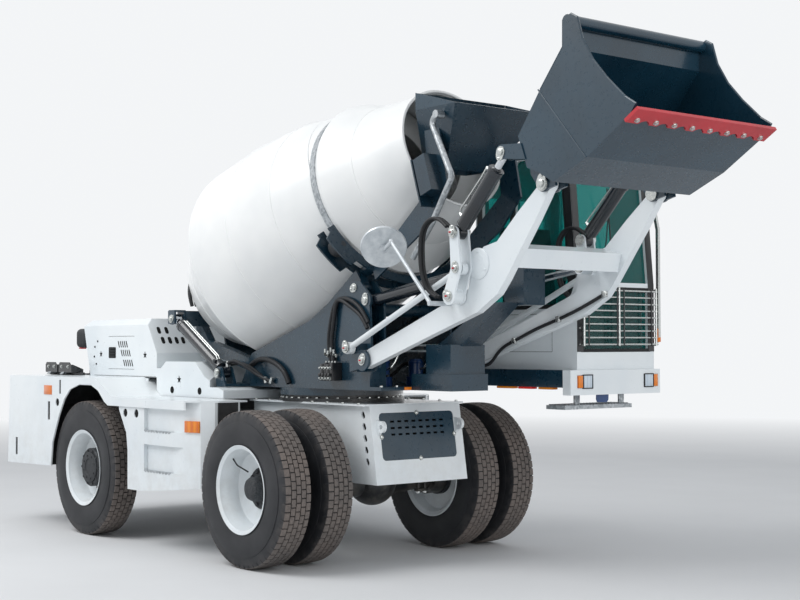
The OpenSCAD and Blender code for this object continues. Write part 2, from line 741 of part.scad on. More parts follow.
module cab_body() {
    t = cab_t;
    color(white) difference() {
        plate(cab_in_y, cab_out_y) cab_side_outline(0);
        plate(cab_in_y + t, cab_out_y - t) offset(delta = -t) cab_side_outline(0);
        plate(cab_in_y - 1, cab_in_y + t + 1) {
            side_window(0);
            rear_side_window(0);
        }
        plate(cab_out_y - t - 1, cab_out_y + 1) door_outline(0);
        // Front windows: the low one behind the guard and the tall one above it
        box(cab_front_x - 90, cab_front_x + 5, cab_in_y + 60, cab_out_y - 60, 1460, 1862);
        box(cab_front_x - 200, cab_front_x + 5, cab_in_y + 60, cab_out_y - 60, 1915, 2700);
        // Rear window
        box(cab_rear_x - 5, cab_rear_x + t + 5, cab_in_y + 90, cab_out_y - 90, 1800, 2560);
    }
    color(black) for (z = hinge_z) {
        translate([door_x0 - 4, hinge_y, z]) cylinder(r = 16, h = 50, $fn = 32);
        translate([door_x0 - 4, hinge_y, z + 49]) cylinder(r = 9 - pin_gap, h = 50, $fn = 32);
        box(door_x0 - 46, door_x0 - 4, cab_out_y - 2, hinge_y + 8, z + 2, z + 48);
    }
}

module cab_glass() {
    t = cab_t;
    y = cab_in_y + 20;
    color(teal) {
        plate(y, y + glass_t) {
            side_window(-seat_gap);
            rear_side_window(-seat_gap);
        }
        box(cab_front_x - 30, cab_front_x - 30 + glass_t, cab_in_y + 60 + seat_gap,
            cab_out_y - 60 - seat_gap, 1460 + seat_gap, 1862 - seat_gap);
        plate(cab_in_y + 60 + seat_gap, cab_out_y - 60 - seat_gap)
            polygon([[cab_front_x - 26, 1915 + seat_gap], [cab_front_x - 20, 1915 + seat_gap],
                [cab_front_x - 79, 2600], [cab_front_x - 121, 2700 - seat_gap],
                [cab_front_x - 127, 2700 - seat_gap], [cab_front_x - 85, 2600]]);
        box(cab_rear_x + 20, cab_rear_x + 20 + glass_t, cab_in_y + 90 + seat_gap,
            cab_out_y - 90 - seat_gap, 1800 + seat_gap, 2560 - seat_gap);
    }
}

module cab_interior() {
    y = (cab_in_y + cab_out_y) / 2;
    z = cab_low_z + cab_t + seat_gap;
    color(black) {
        // The driver's place on its box
        box(cab_rear_x + 120, cab_rear_x + 520, y - 190, y + 190, z, z + 260);
        box(cab_rear_x + 110, cab_rear_x + 560, y - 230, y + 230, z + 260, z + 380);
        plate(y - 220, y + 220) polygon([[cab_rear_x + 110, z + 380], [cab_rear_x + 220, z + 380],
            [cab_rear_x + 150, z + 980], [cab_rear_x + 70, z + 980]]);
        // Console with the steering wheel
        plate(y - 150, y + 150) polygon([[cab_front_x - 100, z], [cab_front_x - 100, z + 420],
            [cab_front_x - 190, z + 560], [cab_front_x - 260, z + 520], [cab_front_x - 220, z]]);
        translate([cab_front_x - 250, y, z + 560]) rotate([0, -40, 0]) {
            translate([0, 0, -70]) cylinder(r = 22, h = 150);
            translate([0, 0, 70]) rotate_extrude($fn = 48) translate([165, 0]) circle(r = 14, $fn = 20);
            for (a = [0, 90, 180, 270]) rotate(a) box(0, 165, -10, 10, 66, 76);
        }
    }
}

module cab_guard() {
    x = cab_front_x + 30;
    color(steel) {
        for (i = [0 : 8]) translate([x, cab_in_y + 30, 1490 + 46 * i]) rotate([-90, 0, 0])
            cylinder(r = 6, h = cab_out_y - cab_in_y - 20, $fn = 20);
        for (y = [cab_in_y + 40, (cab_in_y + cab_out_y) / 2, cab_out_y - 8]) translate([x, y, 1480])
            cylinder(r = 8, h = 400, $fn = 20);
        for (y = [cab_in_y + 40, cab_out_y - 8], z = [1484, 1868])
            translate([cab_front_x + seat_gap, y, z]) rotate([0, 90, 0])
            cylinder(r = 6, h = 32, $fn = 20);
    }
    color(black) translate([0, cab_out_y + 4, 0]) plate(0, 22) difference() {
        polygon([[x - 10, 1500], [x + 12, 1540], [x + 12, 2300], [x - 60, 2620], [x - 82, 2620],
            [x - 10, 2296], [x - 10, 1548]]);
    }
}

module cab_lamps() {
    x = cab_front_x + seat_gap;
    color(white) difference() {
        box(1690 + seat_gap, x + 28, cab_in_y - 92, cab_out_y + 30, 1150, cab_low_z - seat_gap);
        for (y = [cab_in_y - 30, cab_out_y - 140]) box(x + 20, x + 30, y, y + 150, 1195, 1285);
    }
    color(amber) for (y = [cab_in_y - 20, cab_out_y - 40])
        box(x + 20 + seat_gap, x + 32, y, y + 40, 1200, 1280);
    color(steel) for (y = [cab_in_y + 30, cab_out_y - 130])
        box(x + 20 + seat_gap, x + 32, y, y + 80, 1200, 1280);
}

module cab_step() {
    color(steel) {
        box(1480, 1660, 640, 1300, 1050, 1078);
        for (y = [760, 1200]) box(1620, 1632, y, y + 50, 1077, 1205 - seat_gap);
    }
}

module cab_door() {
    y0 = cab_out_y - cab_t + 5;
    color(white) difference() {
        plate(y0, cab_out_y) door_outline(-move_gap);
        plate(y0 - 1, cab_out_y + 1) door_window(0);
    }
    color(black) {
        for (z = hinge_z) difference() {
            union() {
                translate([door_x0 - 4, hinge_y, z + 50 + seat_gap]) cylinder(r = 16, h = 50, $fn = 32);
                box(door_x0 - 4, door_x0 + 60, hinge_y - 8, hinge_y + 8, z + 52, z + 98);
                box(door_x0 + 30, door_x0 + 60, cab_out_y - 2, hinge_y + 4, z + 52, z + 98);
            }
            translate([door_x0 - 4, hinge_y, z + 40]) cylinder(r = 9, h = 70, $fn = 32);
        }
        box(door_x1 - 110, door_x1 - 20, cab_out_y + 10, cab_out_y + 22, door_z0 + 400, door_z0 + 430);
        box(door_x1 - 60, door_x1 - 40, cab_out_y - 2, cab_out_y + 12, door_z0 + 402, door_z0 + 428);
    }
}

module door_glass() {
    color(teal) plate(cab_out_y - 26, cab_out_y - 26 + glass_t) door_window(-seat_gap);
}

// Frame of the drum: X runs along its axis from the track ring, Z square to it
module drum_frame() { translate([drum_x, 0, drum_z]) rotate([0, -drum_tilt, 0]) children(); }

// Radius of the drum along its axis, as [distance from the track ring, radius]
drum_line = [[-drum_rear, 0], [-drum_rear, 500], [-drum_rear + 238, 614], [-drum_rear + 596, belly_r],
    [-894, belly_r - 18],
    [-397, 733], [-30, band_r - 8], [62, band_r - 8], [74, 640], [300, 522], [drum_front - 20, mouth_r],
        [drum_front, mouth_r + 12]];

module drum_shell() {
    n = len(drum_line);
    inner = [for (i = [n - 1 : -1 : 1]) [min(drum_line[i][0], drum_front) + (i == 1 ? drum_t : 0),
        drum_line[i][1] - drum_t]];
    color(white) drum_frame() rotate([0, 90, 0]) rotate_extrude($fn = 128)
        polygon([for (p = concat(drum_line, inner, [[-drum_rear + drum_t, 0]])) [p[1], p[0]]]);
}

module track_ring() {
    color(steel) drum_frame() rotate([0, 90, 0]) rotate_extrude($fn = 128)
        polygon([[band_r - 8 + seat_gap, -28], [band_r, -28], [band_r, 28], [band_r - 8 + seat_gap, 28]]);
}

roller_a = 50;
yoke_w = 62;
// Distance of the rollers' axles from the drum's axis, and radius of these axles
roller_reach = band_r + roller_r + seat_gap;
roller_pin_r = 20;

// A ring sector below the drum, in the plane square to its axis
module yoke_outline() {
    r0 = band_r + 26;
    r1 = band_r + 84;
    polygon(concat(arc(0, 0, r0, -90 - roller_a - 12, -90 + roller_a + 12, 40),
        arc(0, 0, r1, -90 + roller_a + 12, -90 - roller_a - 12, 40)));
    for (s = [-1, 1]) polygon(concat(arc(0, 0, r0, -90 + s * (roller_a - 14), -90 + s * (roller_a + 12),
        8), arc(0, 0, r0 + 120, -90 + s * (roller_a + 8), -90 + s * (roller_a - 10), 8)));
}

module drum_cradle() {
    y0 = cradle_in_y;
    y1 = upright_out_y - move_gap - 8;
    color(slate) difference() {
        union() {
            both_sides() plate(y0, y1) union() {
                polygon([[760, cradle_pivot[1] + 36], [690, 2000], [366, 1780], [-82, 1545],
                    [-549, 1372], [-961, 1470], [-1232, 1530], [-1330, 1640],
                    [-1420, 1640], [-1420, 1580], [-1260, 1430], [-961, 1370], [-549, 1275], [-82, 1440],
                        [366, 1665], [640, 1800], [740, cradle_pivot[1] - 36]]);
                translate(cradle_pivot) circle(r = 40);
            }
            drum_frame() for (x = [-yoke_w - 7, yoke_w - 7]) translate([x, 0, 0]) rotate([90, 0, 90])
                linear_extrude(14) yoke_outline();
            drum_frame() for (a = [-90 - 28, -90 + 28, -90]) rotate([a + 90, 0, 0])
                translate([-yoke_w, -30, -band_r - 76]) cube([2 * yoke_w, 60, 44]);
            // Rear cross beam with the foot of the drive and the eyes of the tilt cylinders
            box(-1440, -1330, -drum_cyl_y + 50, drum_cyl_y - 50, 1640, 1762);
            both_sides() for (y = [drum_cyl_y - 50, drum_cyl_y + 34]) plate(y, y + 16) union() {
                translate(drum_cyl_eye) circle(r = 44);
                polygon([[-1440, 1660], [-1340, 1660], [-1340, 1762], [-1440, 1762]]);
            }
            both_sides() box(-1430, -1340, drum_cyl_y - 51, drum_cyl_y + 50, 1753, 1768);
            drum_frame() box(-drum_rear - 78, -drum_rear - 60, -210, 210, -560, 210);
        }
        both_sides() cross_pin(cradle_pivot, pin_r + 8, y0 - 2, y1 + 2);
        for (side = [-1, 1]) drum_frame() rotate([side * roller_a, 0, 0]) translate([0, 0, -roller_reach])
            rod_x(roller_pin_r, -yoke_w - 12, yoke_w + 12);
        drum_frame() rod_x(120 + seat_gap, -drum_rear - 90, -drum_rear - 50);
    }
}

module drum_roller(side) {
    color(steel) drum_frame() rotate([side * roller_a, 0, 0]) translate([0, 0, -roller_reach]) {
        rod_x(roller_r, -32, 32);
        rod_x(36, -yoke_w + 7 + seat_gap, yoke_w - 7 - seat_gap);
        rod_x(roller_pin_r - pin_gap, -yoke_w - 7, yoke_w + 7);
    }
}

module drum_drive() {
    color(steel) drum_frame() {
        rod_x(120, -drum_rear - 90, -drum_rear - seat_gap);
        rod_x(165, -drum_rear - 110, -drum_rear - 78 - seat_gap);
        rod_x(150, -drum_rear - 260, -drum_rear - 110);
        rod_x(70, -drum_rear - 350, -drum_rear - 260);
    }
}

hopper_half_w = 400;

module feed_hopper() {
    color(slate) difference() {
        union() {
            hull() {
                box(1350, 1740, -hopper_half_w, hopper_half_w, 3010, 3012);
                box(1350, 1352, -hopper_half_w, hopper_half_w, 3120, 3122);
                box(1180, 1400, -180, 180, 2640, 2642);
            }
        }
        hull() {
            box(1358, 1732, -hopper_half_w + 8, hopper_half_w - 8, 3013, 3014);
            box(1358, 1360, -hopper_half_w + 8, hopper_half_w - 8, 3130, 3132);
            box(1188, 1392, -172, 172, 2632, 2634);
        }
    }
    // Struts down to the yoke
    color(slate) drum_frame() {
        both_sides() plate(cradle_in_y - 16 - seat_gap, cradle_in_y - seat_gap)
            polygon([[yoke_w + 7 + seat_gap, -700], [yoke_w + 7 + seat_gap, -600], [785, -335],
                [865, 40], [1005, 0], [960, -420], [700, -560]]);
        // Box on the right strut, with the flange behind it
        box(805, 920, -428, -cradle_in_y + 2, -400, -150);
        box(780, 792, -428, -cradle_in_y + 2, -464, -140);
    }
}

// The bent pipe beside the hopper, as [x, z]
pipe_line = [[1595, 2951], [1532, 2915], [1735, 2541], [1541, 2266], [1345, 2050]];
pipe_r = 20;

module water_pipe() {
    color(steel) translate([0, -hopper_half_w - pipe_r - seat_gap, 0]) {
        bent_bar(pipe_line, pipe_r, 46);
        // Stub that carries the pipe on the hopper's side
        cross_pin(pipe_line[0], 26, -pipe_r, 39.5);
    }
}

// A cylinder's barrel along +X from its eye; the rod runs through the gland at its mouth
module cylinder_barrel(r, l, w, rod_r) {
    rotate([90, 0, 0]) translate([0, 0, -w / 2]) difference() {
        cylinder(r = pin_r + 17, h = w);
        translate([0, 0, -1]) cylinder(r = pin_r, h = w + 2);
    }
    difference() {
        rod_x(w / 2 - 1, pin_r + 8, 90);
        rotate([90, 0, 0]) translate([0, 0, -w]) cylinder(r = pin_r + 4, h = 2 * w);
    }
    difference() {
        rod_x(r, 60, l);
        rod_x(r - 9, 76, l - 36);
        rod_x(rod_r + seat_gap, l - 40, l + 1);
    }
}

// A cylinder's rod, drawn back along X from its eye
module cylinder_rod(r, l, w) {
    rod_x(r, -l, -30);
    rotate([90, 0, 0]) translate([0, 0, -w / 2]) cylinder(r = pin_r + 15, h = w);
}

lift_barrel_l = 900;
tilt_barrel_l = 490;
drum_barrel_l = 730;
lift_rod_r = 24;
tilt_rod_r = 22;
drum_rod_r = 22;

module lift_barrels() {
    color(black) both_sides() along(lift_base, lift_eye, lift_y)
        cylinder_barrel(lift_r, lift_barrel_l, 2 * lift_r - 4, lift_rod_r);
}

module lift_rods() {
    color(steel) both_sides() along(lift_base, lift_eye, lift_y)
        translate([length(lift_base, lift_eye), 0, 0])
        cylinder_rod(lift_rod_r, length(lift_base, lift_eye) - 180, 2 * lift_r - 10);
}

module tilt_barrels() {
    color(black) both_sides() along(lever_top, tilt_eye, link_y)
        cylinder_barrel(tilt_r, tilt_barrel_l, 54, tilt_rod_r);
}

module tilt_rods() {
    color(steel) both_sides() along(lever_top, tilt_eye, link_y)
        translate([length(lever_top, tilt_eye), 0, 0])
        cylinder_rod(tilt_rod_r, length(lever_top, tilt_eye) - 150, 50);
}

module drum_lift_barrels() {
    color(black) both_sides() along(drum_cyl_base, drum_cyl_eye, drum_cyl_y)
        cylinder_barrel(drum_cyl_r, drum_barrel_l, 56, drum_rod_r);
}

module drum_lift_rods() {
    l = length(drum_cyl_base, drum_cyl_eye);
    color(steel) both_sides() along(drum_cyl_base, drum_cyl_eye, drum_cyl_y) translate([l, 0, 0])
        cylinder_rod(drum_rod_r, l - 130, 50);
}

// Side view of an arm, from its pivot over the elbow to the bucket's pin
module arm_outline() {
    x = arm_x;
    z = arm_z;
    p = bucket_pin;
    translate(arm_pivot) circle(r = 56);
    polygon([[x + 10, z - 55], [x + 611, z + 137], [x + 1114, z + 295], [x + 1296, z + 400],
        [x + 1368, z + 482],
        [x + 1474, z + 622], [x + 1629, z + 826], [p[0] + 46, p[1] - 8], [p[0] + 20, p[1] + 44],
            [p[0] - 44, p[1] + 10], [x + 1476, z + 873],
        [x + 1299, z + 715], [x + 1180, z + 690], [x + 1080, z + 590], [x + 1040, z + 440],
            [x + 930, z + 395], [x - 10, z + 55]]);
    translate(p) circle(r = 46);
}

module loader_arms() {
    y0 = arm_y - arm_t / 2;
    y1 = arm_y + arm_t / 2;
    color(white) difference() {
        union() {
            both_sides() {
                plate(y0, y1) arm_outline();
                cross_pin(lift_eye, 46, lift_y + lift_r + 6, y0 + 1);
                // Pin of the lever on the arm's outer face
                cross_pin(lever_pivot, pin_r + 8 - pin_gap, y1 - 1, link_y + 52);
            }
            translate([lift_eye[0] + 165, 0, arm_z + 632]) rotate([0, 15, 0])
                box(-75, 75, -y0 - 1, y0 + 1, -59, 59);
        }
        both_sides() {
            cross_pin(arm_pivot, pin_r + 10, y0 - 1, y1 + 1);
            cross_pin(bucket_pin, pin_r, y0 - 1, y1 + 1);
        }
    }
}

module mirror_piece() {
    c = [arm_x + 388, arm_z + 728];
    hub_end = [c[0] + 26, c[1] - 22];
    elbow = [arm_x + 493, arm_z + 754];
    foot = [arm_x + 875, arm_z + 354];
    y = arm_y + 170;
    color(steel) translate([0, -y, 0]) {
        translate([c[0], 0, c[1]]) rotate([0, 123, -38]) {
            cylinder(r1 = 150, r2 = 146, h = 14);
            cylinder(r = 26, h = 44);
        }
        along(hub_end, elbow, -20) rod_x(13, 0, length(hub_end, elbow));
        translate([elbow[0], -20, elbow[1]]) sphere(r = 18);
        along(elbow, foot, -20) rod_x(13, 0, length(elbow, foot));
        translate([foot[0], -34, foot[1]]) rotate([-90, 0, 0])
            cylinder(r = 15, h = 204 - arm_t / 2 - seat_gap);
    }
}

module lever_outline() {
    polygon([[lever_pivot[0] - 52, lever_pivot[1] + 6], [lever_pivot[0] + 52, lever_pivot[1] + 10],
        [lever_mid[0] + 46, lever_mid[1]],
        [lever_top[0] + 38, lever_top[1]], [lever_top[0] - 38, lever_top[1]],
            [lever_mid[0] - 44, lever_mid[1]]]);
    translate(lever_pivot) circle(r = 54);
    translate(lever_top) circle(r = 38);
}

lever_t = 14;
lever_in_y = link_y - link_r - 10 - lever_t;
lever_out_y = link_y + link_r + 9;

module levers() {
    color(white) both_sides() difference() {
        union() {
            for (y = [lever_in_y, lever_out_y]) plate(y, y + lever_t) lever_outline();
            cross_pin(lever_pivot, 48, lever_in_y + 2, lever_out_y + lever_t - 2);
        }
        cross_pin(lever_pivot, pin_r + 8, lever_in_y - 1, lever_out_y + lever_t + 1);
        cross_pin(lever_top, pin_r, lever_in_y - 1, lever_out_y + lever_t + 1);
    }
}

module level_rods() {
    l = length(rod_base, lever_mid);
    color(white) both_sides() along(rod_base, lever_mid, link_y) {
        difference() {
            union() {
                rotate([90, 0, 0]) translate([0, 0, -link_r + 3]) cylinder(r = 40, h = 2 * link_r - 6);
                rod_x(link_r - 5, 20, l - 20);
            }
            rotate([90, 0, 0]) translate([0, 0, -link_r - 1]) cylinder(r = pin_r, h = 2 * link_r + 2);
        }
        translate([l, 0, 0]) rotate([90, 0, 0]) translate([0, 0, -link_r + 3])
            cylinder(r = 40, h = 2 * link_r - 6);
    }
}

head_r = 36;
head_t = 10;

module tilt_pins() {
    color(steel) both_sides() {
        cross_pin(lever_top, pin_r - pin_gap, lever_in_y - 4, lever_out_y + lever_t + 4);
        cross_pin(lever_top, head_r, lever_in_y - 2 - head_t, lever_in_y - 2);
        cross_pin(lever_top, head_r, lever_out_y + lever_t + 2, lever_out_y + lever_t + 2 + head_t);
    }
}

ear_t = 18;
ear_in_y = arm_y - arm_t / 2 - move_gap - ear_t;
ear_mid_y = arm_y + arm_t / 2 + move_gap;
ear_out_y = link_y + link_r + 9;

module bucket_pins() {
    color(steel) both_sides() {
        cross_pin(bucket_pin, pin_r - pin_gap, ear_in_y - 4, ear_mid_y + ear_t + 4);
        cross_pin(bucket_pin, head_r + 8, ear_in_y - 2 - head_t, ear_in_y - 2);
        cross_pin(bucket_pin, head_r + 8, ear_mid_y + ear_t + 2, ear_mid_y + ear_t + 2 + head_t);
    }
}

// Outer side of the bucket's shell, from its lip over the back and the floor to the edge
function bucket_at(dx, dz) = [bucket_pin[0] + dx, bucket_pin[1] + dz];
shell_line = [bucket_at(231, 889), bucket_at(229, 740), bucket_at(49, 525), bucket_at(-133, 280),
    bucket_at(-60, 90), bucket_at(20, 62), bucket_at(150, -10),
    bucket_at(412, 103), bucket_at(726, 298)];
front_edge = [bucket_at(765, 350), bucket_at(691, 396), bucket_at(559, 519), bucket_at(455, 635),
    bucket_at(379, 760), bucket_at(341, 886), bucket_at(290, 915)];

module ear_outline() {
    polygon([bucket_at(-46, -10), bucket_at(-10, -46), bucket_at(100, -20), bucket_at(60, 250),
        bucket_at(-126, 250), bucket_at(-100, 60)]);
    translate(bucket_pin) circle(r = 48);
}

module tilt_ear_outline() {
    e = tilt_eye;
    translate(e) circle(r = 44);
    polygon([[e[0] - 40, e[1] + 20], [e[0], e[1] + 44], bucket_at(56, 227), bucket_at(47, 129),
        [e[0] + 20, e[1] - 42], [e[0] - 20, e[1] - 38]]);
}

module bucket() {
    w = bucket_half_w;
    color(slate) difference() {
        union() {
            // The wall is the outline less the same outline shrunk, open to the front
            difference() {
                plate(-w, w) polygon(concat(shell_line, front_edge));
                plate(-w + bucket_t, w - bucket_t) offset(delta = -bucket_t)
                    polygon(concat(shell_line, [bucket_at(900, 320), bucket_at(900, 950),
                    bucket_at(231, 950)]));
            }
            both_sides() {
                plate(ear_in_y, ear_in_y + ear_t) difference() {
                    ear_outline();
                    bucket_core();
                }
                plate(ear_mid_y, ear_mid_y + ear_t) difference() {
                    union() {
                        ear_outline();
                        tilt_ear_outline();
                    }
                    bucket_core();
                }
                plate(ear_out_y, ear_out_y + 11) difference() {
                    tilt_ear_outline();
                    bucket_core();
                }
            }
            translate([bucket_at(262, 0)[0], w - 2, bucket_at(0, 880)[1]]) rotate([90, 0, 0])
                cylinder(r = 36, h = 2 * w - 4);
        }
        both_sides() cross_pin(bucket_pin, pin_r, ear_in_y - 1, ear_mid_y + ear_t + 1);
    }
}

// The hollow of the bucket, kept clear of ears
module bucket_core() {
    offset(delta = -bucket_t + 2) polygon(concat(shell_line,
        [bucket_at(900, 320), bucket_at(900, 950), bucket_at(231, 950)]));
}

module cutting_edge() {
    w = bucket_half_w + 6;
    a = angle(bucket_at(412, 103), bucket_at(726, 298));
    color(red) translate([bucket_at(726, 0)[0], 0, bucket_at(0, 298)[1]]) rotate([0, -a, 0])
        translate([-44, 0, -edge_t - seat_gap])
        linear_extrude(edge_t) difference() {
            translate([0, -w]) square([110, 2 * w]);
            for (i = [-3 : 3]) translate([-18, i * 150]) circle(r = 46);
        }
}

placed() front_frame();
placed() front_panel();
placed() ring_base();
placed() front_axle();
placed() rear_axle();
placed() main_rails();
placed() rear_body();
placed() side_boxes();
placed() mud_guards();
placed() engine_hood();
placed() engine();
placed() rear_lamps();
placed() rear_rack();
placed() front_tyres(-1);  // front_tyres_right
placed() front_rims(-1);  // front_rims_right
placed() front_tyres(1);  // front_tyres_left
placed() front_rims(1);  // front_rims_left
placed() rear_tyre(-1);  // rear_tyre_right
placed() rear_rim(-1);  // rear_rim_right
placed() rear_tyre(1);  // rear_tyre_left
placed() rear_rim(1);  // rear_rim_left
placed() knuckle(-1);  // knuckle_right
placed() knuckle(1);  // knuckle_left
placed() turret_frame();
placed() slew_motors();
placed() oil_tank();
placed() valve_block();
placed() cab_body();
placed() cab_glass();
placed() cab_interior();
placed() cab_guard();
placed() cab_lamps();
placed() cab_step();
placed() cab_door();
placed() door_glass();
placed() drum_cradle();
placed() drum_roller(-1);  // roller_right
placed() drum_roller(1);  // roller_left
placed() drum_drive();
placed() feed_hopper();
placed() water_pipe();
placed() drum_shell();
placed() track_ring();
placed() drum_lift_barrels();
placed() drum_lift_rods();
placed() loader_arms();
placed() mirror_piece();  // mirror
placed() levers();
placed() level_rods();
placed() lift_barrels();
placed() lift_rods();
placed() tilt_pins();
placed() tilt_barrels();
placed() tilt_rods();
placed() bucket_pins();
placed() bucket();
placed() cutting_edge();
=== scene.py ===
import math

import bmesh
import bpy
import numpy as np
from mathutils import Matrix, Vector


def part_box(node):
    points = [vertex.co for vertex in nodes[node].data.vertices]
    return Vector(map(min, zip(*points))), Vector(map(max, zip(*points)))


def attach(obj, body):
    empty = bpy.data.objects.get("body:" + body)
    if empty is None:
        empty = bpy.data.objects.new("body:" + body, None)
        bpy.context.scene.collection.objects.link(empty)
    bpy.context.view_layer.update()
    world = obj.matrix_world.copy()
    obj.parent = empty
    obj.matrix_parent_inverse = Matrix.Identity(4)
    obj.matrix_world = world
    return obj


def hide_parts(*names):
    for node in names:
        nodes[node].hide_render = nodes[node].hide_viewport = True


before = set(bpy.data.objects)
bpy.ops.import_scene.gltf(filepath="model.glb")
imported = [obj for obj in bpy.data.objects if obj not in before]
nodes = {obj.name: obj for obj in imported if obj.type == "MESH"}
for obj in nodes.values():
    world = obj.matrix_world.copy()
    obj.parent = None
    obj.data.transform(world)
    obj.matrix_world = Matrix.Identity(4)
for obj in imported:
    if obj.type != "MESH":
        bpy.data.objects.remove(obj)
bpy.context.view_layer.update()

# Sizes below are millimetres from the slewing axis on the ground: X forward, Y to the cab, Z up
ringLow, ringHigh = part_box("ring_base")
slewAxis = np.array([(ringLow.x + ringHigh.x) / 2, (ringLow.y + ringHigh.y) / 2, 0.0])
print("frame loaded, slewing axis at", np.round(slewAxis, 4))


# Shapes: every one gives (points, faces), points as rows of millimetres
def rowsOf(*values):
    # several arrays side by side, so that each row of the result is one point
    return np.stack(np.broadcast_arrays(*[np.asarray(v, float) for v in values]), -1)


def gridFaces(rows, cols, wrapRows=False, wrapCols=False):
    # quads between neighbours of a grid whose points are numbered row by row
    i = np.arange(rows if wrapRows else rows - 1)[:, None]
    j = np.arange(cols if wrapCols else cols - 1)[None, :]
    a, b = i * cols, (i + 1) % rows * cols
    c, d = j, (j + 1) % cols
    return np.stack([a + c, a + d, b + d, b + c], -1).reshape(-1, 4).tolist()


def joined(*parts):
    # one part from several, with each part's face numbers moved up by the points before it
    points, faces, start = [], [], 0
    for partPoints, partFaces in parts:
        points.append(np.reshape(partPoints, (-1, 3)))
        faces += [[n + start for n in face] for face in partFaces]
        start += len(points[-1])
    return np.concatenate(points), faces


def turned(part, degrees, axis="y", about=(0, 0, 0)):
    # right-handed turn of all points about an axis through a point
    a, b = {"x": (1, 2), "y": (2, 0), "z": (0, 1)}[axis]
    points, faces = part
    moved = np.reshape(points, (-1, 3)) - about
    c, s = math.cos(math.radians(degrees)), math.sin(math.radians(degrees))
    first, second = moved[:, a].copy(), moved[:, b].copy()
    moved[:, a], moved[:, b] = first * c - second * s, first * s + second * c
    return moved + about, faces


def shifted(part, move):
    # the same faces, one move added to every point
    return np.reshape(part[0], (-1, 3)) + np.asarray(move, float), part[1]


def mirrored(part):
    # the same shape on the other side of the centreline, faces turned round again
    return np.reshape(part[0], (-1, 3)) * (1, -1, 1), [face[::-1] for face in part[1]]


def bothSides(part):
    # a shape and its mirror image as one part
    return joined(part, mirrored(part))


def axisFrame(direction):
    # three unit vectors, the last along direction
    w = np.asarray(direction, float) / np.linalg.norm(direction)
    u = np.cross((0, 0, 1.0) if abs(w[2]) < 0.9 else (1.0, 0, 0), w)
    u /= np.linalg.norm(u)
    return np.array([u, np.cross(w, u), w])


def revolved(profile, centre=(0, 0, 0), axis=(0, 0, 1), segments=48):
    # a profile of [distance along the axis, radius] turned once round the axis
    profile = np.asarray(profile, float)
    angle = np.linspace(0, 2 * np.pi, segments, endpoint=False)[None, :]
    along, radius = profile[:, :1], profile[:, 1:]
    local = rowsOf(radius * np.cos(angle), radius * np.sin(angle), along + 0 * angle)
    points = local @ axisFrame(axis) + np.asarray(centre, float)
    faces = gridFaces(len(profile), segments, wrapCols=True)
    last = len(profile) - 1
    faces.append(list(range(segments))[::-1])
    faces.append(list(range(last * segments, (last + 1) * segments)))
    return points.reshape(-1, 3), faces


def swept(path, outline):
    # an outline carried along a path, ends closed: path point + u * side vector + v * up vector,
    # where side is square to the path and to the direction in which the whole path is flattest
    path = np.asarray(path, float)
    tangent = np.gradient(path, axis=0)
    tangent /= np.linalg.norm(tangent, axis=1)[:, None]
    flat = np.linalg.svd(tangent, full_matrices=True)[2][-1]
    side = np.cross(tangent, flat)
    side /= np.linalg.norm(side, axis=1)[:, None]
    up = np.cross(side, tangent)
    outline = np.asarray(outline, float)
    points = path[:, None] + (outline[None, :, :1] * side[:, None] + outline[None, :, 1:] * up[:, None])
    count = len(outline)
    faces = gridFaces(len(path), count, wrapCols=True)
    faces.append(list(range(count))[::-1])
    faces.append(list(range((len(path) - 1) * count, len(path) * count)))
    return points.reshape(-1, 3), faces


def circle(radius, sides=14):
    # points at equal angles on a circle round zero
    angle = np.linspace(0, 2 * np.pi, sides, endpoint=False)
    return rowsOf(radius * np.cos(angle), radius * np.sin(angle))


def spline(points, count):
    # natural cubic curve through the points, by chord length: the second derivatives solve one linear system
    p = np.asarray(points, float)
    n = len(p)
    h = np.linalg.norm(np.diff(p, axis=0), axis=1)
    t = np.concatenate([[0], np.cumsum(h)])
    system, right = np.eye(n), np.zeros((n, 3))
    inner = np.arange(1, n - 1)
    system[inner, inner] = 2 * (h[:-1] + h[1:])
    system[inner, inner - 1], system[inner, inner + 1] = h[:-1], h[1:]
    slope = np.diff(p, axis=0) / h[:, None]
    right[1:-1] = 6 * np.diff(slope, axis=0)
    second = np.linalg.solve(system, right)
    s = np.linspace(0, t[-1], count)
    k = np.clip(np.searchsorted(t, s, side="right") - 1, 0, n - 2)
    a, b = ((t[k + 1] - s) / h[k])[:, None], ((s - t[k]) / h[k])[:, None]
    bend = ((a**3 - a) * second[k] + (b**3 - b) * second[k + 1]) * (h[k] ** 2)[:, None] / 6
    return a * p[k] + b * p[k + 1] + bend


def bentPath(points, radius, steps=7):
    # straight legs whose corners become arcs of one radius
    p = np.asarray(points, float)
    out = [p[:1]]
    for i in range(1, len(p) - 1):
        u, v = p[i - 1] - p[i], p[i + 1] - p[i]
        room = 0.49 * min(np.linalg.norm(u), np.linalg.norm(v))
        u, v = u / np.linalg.norm(u), v / np.linalg.norm(v)
        half = math.acos(max(-1, min(1, float(u @ v)))) / 2
        reach = min(radius / math.tan(half), room)
        bow = reach * math.tan(half)
        middle = p[i] + (u + v) / np.linalg.norm(u + v) * bow / math.sin(half)
        first, last = p[i] + u * reach - middle, p[i] + v * reach - middle
        swing = np.pi - 2 * half
        share = np.linspace(0, 1, steps)[:, None]
        out.append(middle + (np.sin((1 - share) * swing) * first
                             + np.sin(share * swing) * last) / math.sin(swing))
    out.append(p[-1:])
    return np.concatenate(out)


def hose(points, radius, count=40, sides=12):
    # a round section carried along a smooth curve through the points
    return swept(spline(points, count), circle(radius, sides))


def pipe(points, radius, bend, sides=16):
    # a round section carried along straight legs with bent corners
    return swept(bentPath(points, bend), circle(radius, sides))


